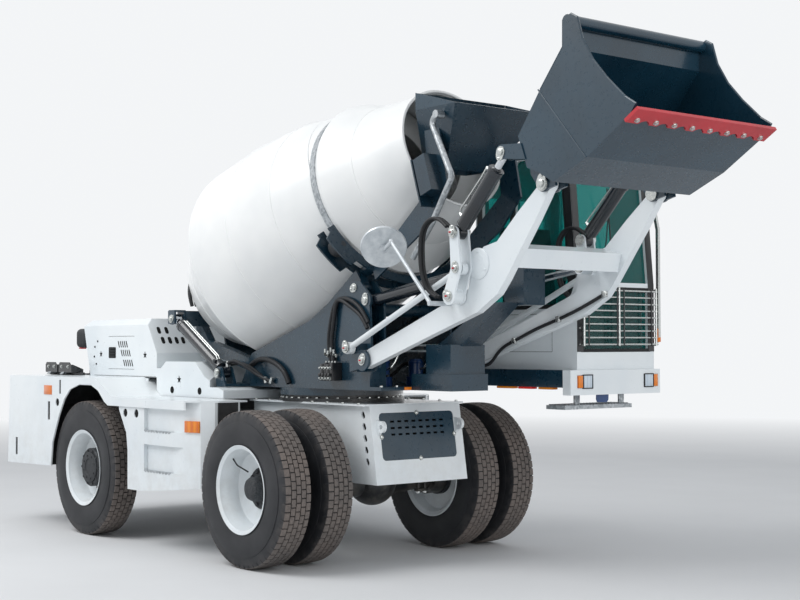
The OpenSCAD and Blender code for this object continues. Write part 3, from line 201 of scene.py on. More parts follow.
def plate(outline, low, high, axis="y"):
    # a flat outline given thickness: two faces and one quad for each edge
    # (axis "y" reads the outline as X and Z, "z" as X and Y, "x" as Y and Z)
    outline = np.asarray(outline, float)
    n = len(outline)
    flat = [np.full(n, v) for v in (low, high)]
    a, b = outline[:, 0], outline[:, 1]
    make = {"y": lambda w: rowsOf(a, w, b), "z": lambda w: rowsOf(a, b, w),
            "x": lambda w: rowsOf(w, a, b)}[axis]
    faces = [list(range(n))[::-1], list(range(n, 2 * n))]
    faces += [[i, (i + 1) % n, (i + 1) % n + n, i + n] for i in range(n)]
    return np.concatenate([make(w) for w in flat]), faces


def roundBlock(low, high, radius, steps=3):
    # a block with round edges: inner block's corner in each direction's octant + the direction * the radius
    low, high = np.minimum(low, high).astype(float), np.maximum(low, high).astype(float)
    centre, inner = (low + high) / 2, (high - low) / 2 - radius
    part = np.linspace(0.02, 0.98, steps)
    theta = (np.arange(4)[:, None] + part[None, :]).ravel() * np.pi / 2
    phi = np.concatenate([-part[::-1], part]) * np.pi / 2
    theta, phi = theta[None, :], phi[:, None]
    way = rowsOf(np.cos(phi) * np.cos(theta), np.cos(phi) * np.sin(theta), np.sin(phi) + 0 * theta)
    points = centre + np.sign(way) * inner + way * radius
    count = theta.size
    faces = gridFaces(phi.size, count, wrapCols=True)
    faces.append(list(range(count))[::-1])
    faces.append(list(range((phi.size - 1) * count, phi.size * count)))
    return points.reshape(-1, 3), faces


def boltHeads(places, direction, size, sides=12):
    # hexagon heads on washers, one at every place: the radius at each level is a circle's or a hexagon's,
    # and a hexagon's radius at an angle is its flat's distance / cos(angle from the flat's middle)
    angle = np.linspace(0, 2 * np.pi, sides, endpoint=False)
    hexagon = 0.78 / np.cos((angle + np.pi / 6) % (np.pi / 3) - np.pi / 6)
    levels = [(0.0, 1.15 + 0 * angle), (0.16, 1.15 + 0 * angle), (0.16, hexagon), (0.72, hexagon),
              (0.85, 0.62 + 0 * angle)]
    head = np.concatenate([rowsOf(r * np.cos(angle), r * np.sin(angle), z) for z, r in levels]) * size
    faces = gridFaces(len(levels), sides, wrapCols=True)
    faces.append(list(range((len(levels) - 1) * sides, len(levels) * sides)))
    places = np.asarray(places, float).reshape(-1, 3)
    points = (head @ axisFrame(direction))[None] + places[:, None]
    count = len(head)
    every = [[n + k * count for n in face] for k in range(len(places)) for face in faces]
    return points.reshape(-1, 3), every


def slotOutline(x, z, length, width, lean=0, steps=6):
    # a slot with round ends, its long axis leaning from upright by lean degrees
    angle = np.linspace(0, np.pi, steps)
    top = rowsOf(width / 2 * np.cos(angle), width / 2 * np.sin(angle) + (length - width) / 2)
    both = np.concatenate([top, -top])
    c, s = math.cos(math.radians(lean)), math.sin(math.radians(lean))
    return rowsOf(x + both[:, 0] * c - both[:, 1] * s, z + both[:, 0] * s + both[:, 1] * c)


def starOutline(x, z, radius):
    # ten points at two radii in turn
    angle = np.pi / 2 + np.arange(10) * np.pi / 5
    reach = np.where(np.arange(10) % 2, radius * 0.4, radius)
    return rowsOf(x + reach * np.cos(angle), z + reach * np.sin(angle))


def roundOutline(x, z, radius, sides=20):
    # a circle's outline round a place
    return circle(radius, sides) + (x, z)


def rectOutline(x0, x1, z0, z1, radius=6, steps=4):
    # a rectangle with round corners
    angle = np.linspace(0, np.pi / 2, steps)
    corners = [(x1 - radius, z1 - radius, 0), (x0 + radius, z1 - radius, 1), (x0 + radius, z0 + radius, 2),
               (x1 - radius, z0 + radius, 3)]
    return np.concatenate([rowsOf(x + radius * np.cos(angle + q * np.pi / 2),
                                  z + radius * np.sin(angle + q * np.pi / 2)) for x, z, q in corners])


def addPiece(name, part, finish, body, replace=(), crease=35):
    # one object at the origin with a finish of the list below, its faces turned outwards,
    # edges over the crease angle kept sharp
    points, faces = part
    mesh = bpy.data.meshes.new(name)
    mesh.from_pydata((np.reshape(points, (-1, 3)) / 1000 + slewAxis).tolist(), [], faces)
    work = bmesh.new()
    work.from_mesh(mesh)
    bmesh.ops.remove_doubles(work, verts=work.verts, dist=1e-5)
    bmesh.ops.dissolve_degenerate(work, edges=work.edges, dist=1e-6)
    bmesh.ops.recalc_face_normals(work, faces=work.faces)
    work.to_mesh(mesh)
    work.free()
    mesh.shade_smooth()
    mesh.set_sharp_from_angle(angle=math.radians(crease))
    mesh.materials.append(paint[finish])
    piece = bpy.data.objects.new(name, mesh)
    bpy.context.scene.collection.objects.link(piece)
    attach(piece, body)
    if replace:
        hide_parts(*replace)
    return piece


# Materials
def linear(*rgb):
    # a screen colour of 0 to 255 as the light it stands for
    c = np.array(rgb, float) / 255
    return tuple(np.where(c <= 0.04045, c / 12.92, ((c + 0.055) / 1.055) ** 2.4)) + (1.0,)


class Recipe:
    # a material's node tree with short words for the nodes that it needs
    def __init__(self, name):
        self.material = bpy.data.materials.new(name)
        self.material.use_nodes = True
        self.tree = self.material.node_tree
        self.shader = self.tree.nodes["Principled BSDF"]
        self.place = self.tree.nodes.new("ShaderNodeTexCoord").outputs["Object"]

    def set(self, **sockets):
        # plain values on the shader's own sockets
        for name, value in sockets.items():
            self.shader.inputs[name.replace("_", " ")].default_value = value

    def feed(self, socket, source):
        # a node's output into one socket of the shader
        self.tree.links.new(source, self.shader.inputs[socket])

    def node(self, kind, values=(), **settings):
        # a new node, each of its sockets given a value or another node's output
        made = self.tree.nodes.new("ShaderNode" + kind)
        for name, value in settings.items():
            setattr(made, name, value)
        for socket, value in dict(values).items():
            target = made.inputs[socket]
            if hasattr(value, "is_output"):
                self.tree.links.new(value, target)
            else:
                target.default_value = value
        return made

    def noise(self, scale, detail=4.0, rough=0.55):
        # smooth random values about 0.5, with scale as blotches in a metre
        sockets = {"Vector": self.place, "Scale": scale, "Detail": detail, "Roughness": rough}
        return self.node("TexNoise", sockets).outputs["Fac"]

    def range(self, value, low, high, toLow=0.0, toHigh=1.0):
        # a value between low and high stretched to another span and held at its ends
        sockets = {"Value": value, "From Min": low, "From Max": high, "To Min": toLow, "To Max": toHigh}
        return self.node("MapRange", sockets).outputs[0]

    def math(self, operation, a, b=0.0):
        # a sum, a product or the larger of two values
        return self.node("Math", {0: a, 1: b}, operation=operation).outputs[0]

    def mix(self, share, a, b):
        # colour a where share is 0 and b where it is 1
        made = self.node("Mix", {}, data_type="RGBA")
        for socket, value in ((0, share), (6, a), (7, b)):
            if hasattr(value, "is_output"):
                self.tree.links.new(value, made.inputs[socket])
            else:
                made.inputs[socket].default_value = value
        return made.outputs[2]

    def bump(self, height, strength, distance):
        # small relief by tilted normals only
        made = self.node("Bump", {"Height": height, "Strength": strength, "Distance": distance})
        self.feed("Normal", made.outputs[0])

    def height(self):
        # metres above the ground
        return self.node("SeparateXYZ", {0: self.place}).outputs[2]


def paintRecipe(name, colour, shade, gloss=0.3, coat=0.35, dust=0.5, metal=0.0):
    # sprayed paint: broad tone drift, a fine film of dust that thickens near the ground, orange peel
    r = Recipe(name)
    drift = r.range(r.noise(1.7, 3), 0.35, 0.65)
    base = r.mix(drift, linear(*colour), linear(*shade))
    low = r.range(r.height(), 1.15, 0.45, 0.04, 0.5)
    film = r.math("MULTIPLY", r.range(r.noise(9, 8, 0.65), 0.42, 0.72), r.math("MULTIPLY", low, dust))
    r.feed("Base Color", r.mix(film, base, linear(168, 160, 148)))
    speck = r.range(r.noise(30, 5, 0.6), 0.3, 0.7, gloss, gloss + 0.12)
    r.feed("Roughness", r.math("ADD", speck, film))
    r.set(Metallic=metal, Coat_Weight=coat, Coat_Roughness=0.12)
    r.bump(r.noise(320, 2, 0.5), 0.06, 0.0006)
    return r.material


def metalRecipe(name, colour, shade, rough, spread=0.1, grain=90, metal=1.0, bump=0.15):
    # bare or plated metal with a patchy sheen
    r = Recipe(name)
    patch = r.noise(grain, 6, 0.6)
    r.feed("Base Color", r.mix(r.range(patch, 0.35, 0.65), linear(*colour), linear(*shade)))
    r.feed("Roughness", r.range(r.noise(grain / 4, 4), 0.3, 0.7, rough, rough + spread))
    r.set(Metallic=metal)
    r.bump(patch, bump, 0.0004)
    return r.material


def spangleRecipe(name):
    # zinc: cells of slightly different grey, each with its own sheen
    r = Recipe(name)
    cells = r.node("TexVoronoi", {"Vector": r.place, "Scale": 55.0}).outputs["Color"]
    grey = r.node("SeparateColor", {0: cells}).outputs[0]
    r.feed("Base Color", r.mix(grey, linear(196, 200, 203), linear(150, 156, 160)))
    r.feed("Roughness", r.range(grey, 0.0, 1.0, 0.28, 0.46))
    r.set(Metallic=0.85)
    r.bump(r.noise(60, 4), 0.08, 0.0005)
    return r.material


def rubberRecipe(name, colour, shade, grain, rough):
    # rubber or plastic: two near tones in soft patches, a fine grain as relief
    r = Recipe(name)
    r.feed("Base Color", r.mix(r.range(r.noise(6, 6), 0.35, 0.68), linear(*colour), linear(*shade)))
    r.feed("Roughness", r.range(r.noise(grain / 3, 3), 0.3, 0.7, rough, rough + 0.18))
    r.set(Specular_IOR_Level=0.35)
    r.bump(r.noise(grain, 3), 0.15, 0.0006)
    return r.material


def tyreRecipe(name, wheelX, wheelZ):
    # sidewall rubber, with road dust on the blocks' tops: the dust follows the distance from the wheel's axle
    r = Recipe(name)
    centre = (-(wheelX / 1000 + slewAxis[0]), 0.0, -wheelZ / 1000)
    local = r.node("Mapping", {"Vector": r.place, "Location": centre}).outputs[0]
    flat = r.node("VectorMath", {0: local, 1: (1.0, 0.0, 1.0)}, operation="MULTIPLY").outputs[0]
    radius = r.node("VectorMath", {0: flat}, operation="LENGTH").outputs["Value"]
    wall = r.mix(r.range(r.noise(5, 6), 0.3, 0.7), linear(27, 29, 33), linear(47, 48, 51))
    blocks = r.range(radius, 0.5155, 0.5215)
    grit = r.range(r.noise(38, 8, 0.7), 0.28, 0.62, 0.55, 1.0)
    dusty = r.mix(r.range(r.noise(2.2, 3), 0.35, 0.65), linear(127, 117, 111), linear(107, 102, 99))
    scuffed = r.math("MULTIPLY", r.range(radius, 0.44, 0.515, 0.0, 0.3), r.range(r.noise(14, 6), 0.45, 0.75))
    r.feed("Base Color", r.mix(r.math("MAXIMUM", r.math("MULTIPLY", blocks, grit), scuffed), wall, dusty))
    r.feed("Roughness", r.range(blocks, 0.0, 1.0, 0.52, 0.9))
    r.set(Specular_IOR_Level=0.4)
    r.bump(r.noise(150, 4), 0.25, 0.0008)
    return r.material


def glassRecipe(name, tint, rough=0.03):
    # tinted clear glass under a thin film of dust
    r = Recipe(name)
    film = r.range(r.noise(3, 6), 0.4, 0.75, 0.0, 0.16)
    r.feed("Base Color", r.mix(film, linear(*tint), linear(205, 214, 210)))
    r.feed("Roughness", r.range(film, 0.0, 0.16, rough, rough + 0.06))
    r.set(Transmission_Weight=0.92, IOR=1.3, Specular_IOR_Level=0.5)
    return r.material


def lensRecipe(name, colour, shade, glow=0.25):
    # moulded lamp lens: fine flutes, and a little light of its own, as daylight in a reflector gives it
    r = Recipe(name)
    flutes = r.node("TexWave", {"Vector": r.place, "Scale": 22.0, "Distortion": 0.4},
                    bands_direction="Y").outputs["Fac"]
    tone = r.mix(flutes, linear(*colour), linear(*shade))
    r.feed("Base Color", tone)
    r.feed("Emission Color", tone)
    r.set(Emission_Strength=glow, Coat_Weight=0.6, Coat_Roughness=0.05)
    r.feed("Roughness", r.range(flutes, 0.0, 1.0, 0.18, 0.3))
    r.bump(flutes, 0.3, 0.001)
    return r.material


paint = {
    "white": paintRecipe("white paint", (233, 238, 240), (222, 229, 233), 0.26, 0.4, 0.45),
    "drumWhite": paintRecipe("drum white", (240, 241, 240), (229, 231, 231), 0.34, 0.25, 0.3),
    "slate": paintRecipe("slate paint", (20, 53, 70), (13, 41, 56), 0.24, 0.5, 0.12),
    "black": paintRecipe("black paint", (26, 29, 33), (19, 21, 24), 0.3, 0.35, 0.5),
    "gloss": paintRecipe("black cylinder paint", (20, 29, 38), (12, 19, 26), 0.14, 0.6, 0.05),
    "red": paintRecipe("red paint", (198, 16, 36), (172, 10, 28), 0.3, 0.3, 0.12),
    "blue": paintRecipe("blue paint", (18, 66, 122), (12, 48, 96), 0.28, 0.4, 0.2),
    "zinc": spangleRecipe("galvanised steel"),
    "chrome": metalRecipe("chromed rod", (226, 229, 232), (208, 213, 218), 0.07, 0.08, 60, 1.0, 0.03),
    "plated": metalRecipe("zinc plated fitting", (214, 216, 212), (182, 186, 186), 0.2, 0.15, 120, 0.95, 0.1),
    "cast": metalRecipe("cast steel", (78, 80, 82), (52, 54, 57), 0.5, 0.2, 140, 0.6, 0.4),
    "hose": rubberRecipe("hose rubber", (24, 26, 29), (36, 38, 41), 260, 0.42),
    "flap": rubberRecipe("black rubber", (30, 32, 34), (42, 44, 46), 120, 0.7),
    "plastic": rubberRecipe("cab plastic", (42, 44, 47), (56, 58, 60), 380, 0.55),
    "seal": rubberRecipe("window seal", (18, 20, 22), (28, 30, 32), 300, 0.5),
    "glass": glassRecipe("teal glass", (72, 176, 172)),
    "mirror": metalRecipe("mirror back", (214, 219, 222), (186, 193, 198), 0.3, 0.12, 18, 0.35, 0.06),
    "amber": lensRecipe("amber lens", (228, 132, 10), (204, 100, 4), 0.12),
    "redLens": lensRecipe("red lens", (206, 34, 24), (160, 16, 14), 0.3),
    "lamp": lensRecipe("clear lens", (214, 224, 232), (150, 166, 180), 0.12),
    # dark: near-black painted shade, for sheets and discs that stand in for the shade inside openings and
    # holes
    "dark": rubberRecipe("painted recess shade", (10, 11, 12), (16, 17, 18), 40, 0.9),
}

# Finish of each CAD piece; what is replaced by a piece below gets its finish there
nodeFinish = {
    "white": "front_frame rear_body side_boxes engine_hood cab_body cab_lamps cab_door loader_arms levers "
             "level_rods",
    "drumWhite": "drum_shell",
    "slate": "front_panel turret_frame oil_tank drum_cradle feed_hopper bucket",
    "black": "ring_base rear_axle front_axle main_rails rear_lamps rear_rack knuckle_right knuckle_left "
             "valve_block mud_guards",
    "gloss": "lift_barrels tilt_barrels drum_lift_barrels",
    "red": "cutting_edge",
    "blue": "slew_motors",
    "zinc": "track_ring water_pipe cab_step",
    "chrome": "lift_rods tilt_rods drum_lift_rods",
    "plated": "tilt_pins bucket_pins cab_guard",
    "cast": "engine drum_drive roller_right roller_left",
    "plastic": "cab_interior",
    "glass": "cab_glass door_glass",
    "mirror": "mirror",
}
for finish, names in nodeFinish.items():
    for name in names.split():
        slots = nodes[name].data.materials
        slots.clear()
        slots.append(paint[finish])
print("materials made")


# Wheels
tyre = {"radius": 527, "width": 235, "bead": 290, "blocks": 58, "grooveDepth": 13, "ribs": 5,
        "groove": 7, "shoulder": 96}
wheel = {"frontX": 360, "rearX": -1948, "height": 527, "outer": 994, "inner": 656, "flange": 298.5,
         "dishOuter": -62, "dishInner": -6, "dishRear": -52,
         "hubOut": 44, "hubRadius": 140, "axleRadius": 138}
# Bolt circles on the wheels: how many, circle's radius, how far out from the tyre's middle, head's size
hubBolts = {"frontNuts": (10, 116, -50, 17), "frontCap": (8, 52, 10, 9), "rearFlange": (10, 134, 50, 10),
            "rearCap": (8, 92, 62, 7), "rearNuts": (10, 176, -50, 15)}


def tyreShape(side, x, y):
    # radius as a function of angle and place across: the sidewall's bulge, then ribs whose radius is
    # the crown's - the groove's depth in ring grooves and in slots set like bricks
    r, w = tyre["radius"], tyre["width"] / 2
    bead = tyre["bead"]
    wall = np.array([[-w + 30, bead - 14], [-w + 14, bead], [-w + 8, bead + 14], [-w + 4, bead + 40],
                     [-w, bead + 82], [-w + 0.5, bead + 120], [-w + 4, bead + 160], [-w + 5, bead + 163],
                     [-w + 8, bead + 163], [-w + 9, bead + 170], [-w + 12, r - 34], [-w + 18, r - 16]])
    edges = np.linspace(-tyre["shoulder"], tyre["shoulder"], tyre["ribs"] + 1)
    g = tyre["groove"] / 2
    across, rib, floor = [-tyre["shoulder"]], [0], [0]
    for k in range(tyre["ribs"]):
        left = edges[k] + (g if k else 0)
        right = edges[k + 1] - (g if k < tyre["ribs"] - 1 else 0)
        across += [left + 0.1, right - 0.1]
        rib += [k, k]
        floor += [0, 0]
        if k < tyre["ribs"] - 1:
            across += [right + 1, edges[k + 1] + g - 1]
            rib += [k, k]
            floor += [1, 1]
    across.append(tyre["shoulder"])
    rib.append(tyre["ribs"] - 1)
    floor.append(0)
    across, rib, floor = np.array(across), np.array(rib), np.array(floor)
    stations = np.array([0.0, 0.03, 0.13, 0.16, 0.5, 0.53, 0.63, 0.66])
    turn = ((np.arange(tyre["blocks"])[:, None] + stations[None, :]) / tyre["blocks"]).ravel()
    phase = np.tile(stations, tyre["blocks"])
    crown = r - 5 * (np.abs(across) / tyre["shoulder"]) ** 3
    late = (phase[:, None] + 0.5 * (rib[None, :] % 2)) % 1.0
    inSlot = (late > 0.02) & (late < 0.14)
    depth = tyre["grooveDepth"] * np.where(floor[None, :] > 0, 1.0, np.where(inSlot, 0.8, 0.0))
    tread = crown[None, :] - depth
    atShoulder = (np.arange(len(wall)) == len(wall) - 1) * 1.0
    notch = 7 * ((phase > 0.02) & (phase < 0.14))[:, None] * atShoulder[None, :]
    left = np.broadcast_to(wall[:, 1], (len(turn), len(wall))) - notch
    right = left[:, ::-1]
    radius = np.concatenate([left, tread, right], 1)
    place = np.concatenate([wall[:, 0], across, -wall[::-1, 0]])
    angle = turn[:, None] * 2 * np.pi
    points = rowsOf(x + radius * np.cos(angle), y + side * place[None, :],
                    wheel["height"] + radius * np.sin(angle))
    return points.reshape(-1, 3), gridFaces(len(turn), len(place), wrapRows=True, wrapCols=True)


def rimShape(side, x, y, disc):
    # the dish: flange, well and disc as one profile, out along the wheel's axis; the back closes it
    w, r = tyre["width"] / 2, wheel["flange"]
    profile = [[disc - 4, 60], [disc - 4, 150], [disc + 4, 168], [disc + 12, r - 78], [disc + 24, r - 60],
               [disc + 30, r - 48], [disc + 44, r - 44], [w - 62, r - 42], [w - 52, r - 36], [w - 40, r - 35],
               [w - 30, r - 30], [w - 14, r - 28], [w - 8, r - 20], [w - 5, r - 6], [w - 3, r - 1],
               [w - 1.5, r - 0.5], [w - 1.2, r - 4], [w - 3.2, r - 5], [w - 8, r - 16], [w - 16, r - 22],
               [-w + 30, r - 24.5], [-w + 10, r - 3], [-w + 4, r - 1], [-w + 3, r - 8], [-w + 18, r - 34],
               [disc - 24, r - 50], [disc - 16, 150], [disc - 16, 60]]
    return revolved(np.array(profile), (x, side * y, wheel["height"]), (0, side, 0), 96)


def hubShape(side, x, y, disc, out, radius):
    # cast hub as one profile: stepped drum, domed cap
    profile = [[disc - 10, radius], [disc + 8, radius], [disc + 14, radius - 6], [disc + 16, radius * 0.62],
               [out - 30, radius * 0.58], [out - 22, radius * 0.56], [out - 8, radius * 0.5],
               [out - 1, radius * 0.36], [out, 2]]
    return revolved(profile, (x, side * y, wheel["height"]), (0, side, 0), 64)


def ring(count, radius, x, y, z, start=0.0):
    # places evenly round a circle that faces Y
    angle = start + np.arange(count) * 2 * np.pi / count
    return rowsOf(x + radius * np.cos(angle), y + 0 * angle, z + radius * np.sin(angle))


def boltRing(kind, side, x, z, start=0.0):
    # one of the bolt circles, its heads facing out
    count, radius, out, size = hubBolts[kind]
    return boltHeads(ring(count, radius, x, side * (wheel["outer"] + out), z, start), (0, side, 0), size)


paint["frontRubber"] = tyreRecipe("front tyre rubber", wheel["frontX"], wheel["height"])
paint["rearRubber"] = tyreRecipe("rear tyre rubber", wheel["rearX"], wheel["height"])
for side, word in ((-1, "right"), (1, "left")):
    twins = joined(tyreShape(side, wheel["frontX"], side * wheel["outer"]),
                   tyreShape(side, wheel["frontX"], side * wheel["inner"]))
    addPiece(f"front_tread_{word}", twins, "frontRubber", f"front_wheels_{word}", [f"front_tyres_{word}"], 28)
    single = tyreShape(side, wheel["rearX"], side * wheel["outer"])
    addPiece(f"rear_tread_{word}", single, "rearRubber", f"rear_wheel_{word}", [f"rear_tyre_{word}"], 28)
    x, z = wheel["frontX"], wheel["height"]
    rims = joined(rimShape(side, x, wheel["outer"], wheel["dishOuter"]),
                  rimShape(side, x, wheel["inner"], wheel["dishInner"]))
    addPiece(f"front_dish_{word}", rims, "white", f"front_wheels_{word}", [f"front_rims_{word}"], 32)
    axle = [[-60, wheel["axleRadius"]], [278, wheel["axleRadius"]]]
    hub = joined(hubShape(side, x, wheel["outer"], wheel["dishOuter"], wheel["hubOut"], wheel["hubRadius"]),
                 revolved(axle, (x, side * wheel["inner"], z), (0, side, 0), 48),
                 boltRing("frontNuts", side, x, z), boltRing("frontCap", side, x, z))
    addPiece(f"front_hub_{word}", hub, "cast", f"front_wheels_{word}")
    stemLine = [[x + dx, side * (wheel["outer"] + out), z + up]
                for dx, out, up in ((-170, 62, 196), (-150, 40, 150), (-60, 10, 110))]
    addPiece(f"front_valve_{word}", pipe(stemLine, 5, 30, 8), "flap", f"front_wheels_{word}")
    x = wheel["rearX"]
    rearDish = rimShape(side, x, wheel["outer"], wheel["dishRear"])
    addPiece(f"rear_dish_{word}", rearDish, "white", f"rear_wheel_{word}", [f"rear_rim_{word}"], 32)
    drumHub = [[-62, 151], [44, 151], [50, 145], [50, 120], [58, 120], [62, 114], [62, 70], [56, 66], [56, 2]]
    hub = joined(revolved(drumHub, (x, side * wheel["outer"], z), (0, side, 0), 64),
                 boltRing("rearFlange", side, x, z), boltRing("rearCap", side, x, z, 0.3),
                 boltRing("rearNuts", side, x, z))
    addPiece(f"rear_hub_{word}", hub, "cast", f"rear_wheel_{word}")
print("wheels made")


def hoop(profile, centre, axis, segments=96):
    # a closed profile of [distance along the axis, radius] turned once round the axis
    profile = np.asarray(profile, float)
    angle = np.linspace(0, 2 * np.pi, segments, endpoint=False)[None, :]
    along, radius = profile[:, :1], profile[:, 1:]
    local = rowsOf(radius * np.cos(angle), radius * np.sin(angle), along + 0 * angle)
    points = local @ axisFrame(axis) + np.asarray(centre, float)
    return points.reshape(-1, 3), gridFaces(len(profile), segments, wrapRows=True, wrapCols=True)


def atSide(outline, y, thick, side=-1):
    # a thin sheet on a face that looks sideways, its outline in X and Z
    return plate(outline, side * y, side * (y + thick))


# Chassis front: bolts on the leaning plate and the ring, dark sheets of painted shade behind openings, clamps
# round the axle
front = {"foot": (937, 554), "lean": 9.1, "panelHalf": 320, "panelLow": 165, "panelHigh": 478,
         "boltSize": 14, "ringBolts": 36, "ringRadius": 441, "ringTop": 1114,
         "flangeY": 434, "flangeTop": 1091}
lean = math.radians(front["lean"])
outward = (math.cos(lean), 0, math.sin(lean))


def onFront(s, y, out=0.0):
    # a place on the leaning front plate: s along it from its foot, out square to it
    x = front["foot"][0] - s * math.sin(lean) + out * math.cos(lean)
    z = front["foot"][1] + s * math.cos(lean) + out * math.sin(lean)
    return (x, y, z)


panelBolts = [onFront(478, 0), onFront(164, 0), onFront(320, -322), onFront(320, 322)]
panelOutline = rectOutline(-front["panelHalf"], front["panelHalf"], front["panelLow"], front["panelHigh"], 20)
addPiece("front_bolts", boltHeads(panelBolts, outward, front["boltSize"]), "plated", "chassis")
# painted shade: a dark sheet behind the front panel's opening and dark sheets behind the frame's side
# openings stand in for the shade inside
shadeSheet = turned(plate(panelOutline, -60, -54, "x"), -front["lean"], "y")
addPiece("front_shade_sheet", shifted(shadeSheet, (front["foot"][0], 0, front["foot"][1])), "dark", "chassis")
sideShadeSheet = bothSides(plate([(740, 660), (896, 660), (834, 1064), (700, 1064)], 385.5, 387.5))
addPiece("frame_side_shade_sheet", sideShadeSheet, "dark", "chassis")
turnAngle = np.arange(front["ringBolts"]) * 2 * np.pi / front["ringBolts"]
ringPlaces = rowsOf(front["ringRadius"] * np.cos(turnAngle), front["ringRadius"] * np.sin(turnAngle),
                    front["ringTop"])
addPiece("ring_bolts", boltHeads(ringPlaces, (0, 0, 1), 10), "plated", "chassis")
flange = [(x, y, front["flangeTop"]) for y in (-front["flangeY"], front["flangeY"])
          for x in range(-480, 781, 180)]
addPiece("flange_bolts", boltHeads(flange, (0, 0, 1), 11), "plated", "chassis")
clamp = {"apart": 85, "legs": (360, 420), "top": 688, "foot": 430, "radius": 11}
clamps, nuts = [], []
for x in (wheel["frontX"] - clamp["apart"], wheel["frontX"] + clamp["apart"]):
    for y in clamp["legs"]:
        clamps.append(pipe([(x, y, clamp["top"]), (x, y, clamp["foot"])], clamp["radius"], 1, 10))
        nuts += [(x, y, clamp["foot"]), (x, -y, clamp["foot"])]
    clamps.append(roundBlock((x - 26, 340, 432), (x + 26, 440, 450), 3))
addPiece("axle_clamps", bothSides(joined(*clamps)), "black", "chassis")
addPiece("axle_nuts", boltHeads(nuts, (0, 0, -1), 17), "plated", "chassis")
print("chassis front dressed")

# Side boxes: serrated treads, dark discs of painted shade set back in the round holes, amber lamps on the
# slanted corners
box = {"face": 1111, "from": -945, "to": -558, "treads": (868, 575), "pitch": 43, "tooth": 15,
       "holes": ((-1240, 985), (-1069, 985)), "cornerLamp": (-336, 1057.5, 914), "cornerTurn": -14.6}
teeth = int((box["to"] - box["from"]) / box["pitch"])
tread = []
for level in box["treads"]:
    x = np.linspace(box["from"], box["to"], 2 * teeth + 1)
    z = np.where(np.arange(len(x)) % 2, level - box["tooth"], level - 3)
    saw = np.concatenate([rowsOf(x, z), [(box["to"], level + 2), (box["from"], level + 2)]])
    tread.append(plate(saw, -box["face"] - 2.5, -box["face"] + 1))
    tread.append(roundBlock((box["from"], -box["face"], level - 1),
                            (box["to"], -box["face"] + 30, level + 2), 0.8))
addPiece("step_treads", bothSides(joined(*tread)), "zinc", "chassis")
# painted shade: a dark disc set back in each round hole stands in for the shade inside it
holeShadeProfile = [[-2, 31.5], [1.5, 31.5], [3, 28], [3.5, 2]]
holeShades = [revolved(holeShadeProfile, (x, -box["face"] + 8, z), (0, -1, 0), 32) for x, z in box["holes"]]
addPiece("box_hole_shade", bothSides(joined(*holeShades)), "dark", "chassis")
cornerLamp = turned(roundBlock((-74, -2, -41), (70, 13, 41), 4), box["cornerTurn"], "z")
addPiece("corner_lamps", bothSides(shifted(cornerLamp, box["cornerLamp"])), "amber", "chassis")
print("side boxes dressed")

# Rear body: dark sheets of painted shade behind its cuts, amber lamps, black lining of the wheel arches
rear = {"inside": 1112.5, "hole": (-2377, 1031, 31.5), "lamp": ((-2626, -1129, 1090), (-2480, -1124, 1166)),
        "lining": ((-2618.5, 505), (-2618.5, 1000), (-2478.5, 1178), (-1640, 1178)),
        "flap": ((-1349, 1010), (-1229, 840), (-1207, 706), (-1205, 420),
                 (-1212, 420), (-1214, 708), (-1236, 843), (-1356, 1014))}
# painted shade: dark sheets just inside the body behind each cut stand in for the shade behind it
cuts = [rectOutline(-2344.5, -2315.5, 1102.5, 1213.5, 1), roundOutline(*rear["hole"], 32),
        rectOutline(-2555.5, -2516.5, 884.5, 1033.5, 1), rectOutline(-3187.5, -3148.5, 563.5, 709.5, 1)]
shadeSheet = joined(*[atSide(cut, rear["inside"] + 4, 2) for cut in cuts])
addPiece("body_shade_sheet", bothSides(shadeSheet), "dark", "chassis")
addPiece("body_lamps", bothSides(roundBlock(*rear["lamp"], 2.2)), "amber", "chassis")
lining = np.array(rear["lining"], float)
inner = lining + [(2, 0), (2, -0.6), (0.6, -2), (0, -2)]
sheet = plate(np.concatenate([lining, inner[::-1]]), 701, 1112)
wallLining = plate([(-2616, 1002), (-2480, 1176), (-1642, 1176), (-1642, 1002)], 700.6, 702.4)
addPiece("arch_lining", bothSides(joined(sheet, wallLining)), "flap", "chassis")
addPiece("arch_flaps", bothSides(plate(rear["flap"], 790, 1100)), "flap", "chassis")
print("rear body dressed")

# Hood: stars, vent, rows of slanted slots, oval slots on the slope (dark sheets of painted shade in the
# openings), seams and bolts
hood = {"face": 700.4, "thick": 1.4, "vent": (-2306, -2184, 1388, 1478), "seams": (1567, 1300),
        "stars": ((-2446, 1421, 27), (-1689, 1415, 30), (-1150, 1229, 31)),
        "holes": ((-1257, 1148), (-847, 1148)),
        "slotRows": ((-2144, -1983, 1502), (-2093, -1934, 1430), (-2049, -1891, 1349)),
        "slot": (58, 11, 24), "slots": 5,
        "bolts": ((-2506, 1528), (-2556, 1481), (-2565, 1399), (-2528, 1338))}
# painted shade: thin dark sheets on the hood's face, in the shape of the star, vent, hole and slot openings,
# stand in for the shade inside them
stars = [starOutline(*star) for star in hood["stars"]]
holes = [roundOutline(*hole, 27) for hole in hood["holes"]]
openingShades = [stars[0], stars[1], rectOutline(*hood["vent"], 8), stars[2], *holes]
for first, last, level in hood["slotRows"]:
    openingShades += [slotOutline(x, level, *hood["slot"]) for x in np.linspace(first + 12, last - 12, hood["slots"])]
openingShades = joined(*[atSide(cutOutline, hood["face"], hood["thick"]) for cutOutline in openingShades])
addPiece("hood_opening_shade", bothSides(openingShades), "dark", "chassis")
louvres = [atSide(rectOutline(-2300, -2190, z - 3, z + 3, 2), hood["face"] + 1.5, 4)
           for z in np.arange(1400, 1475, 13)]
addPiece("hood_louvres", bothSides(joined(*louvres)), "plastic", "chassis")
seams = [rectOutline(-2311, -1867, level - 1.2, level + 1.2, 0.8) for level in hood["seams"]]
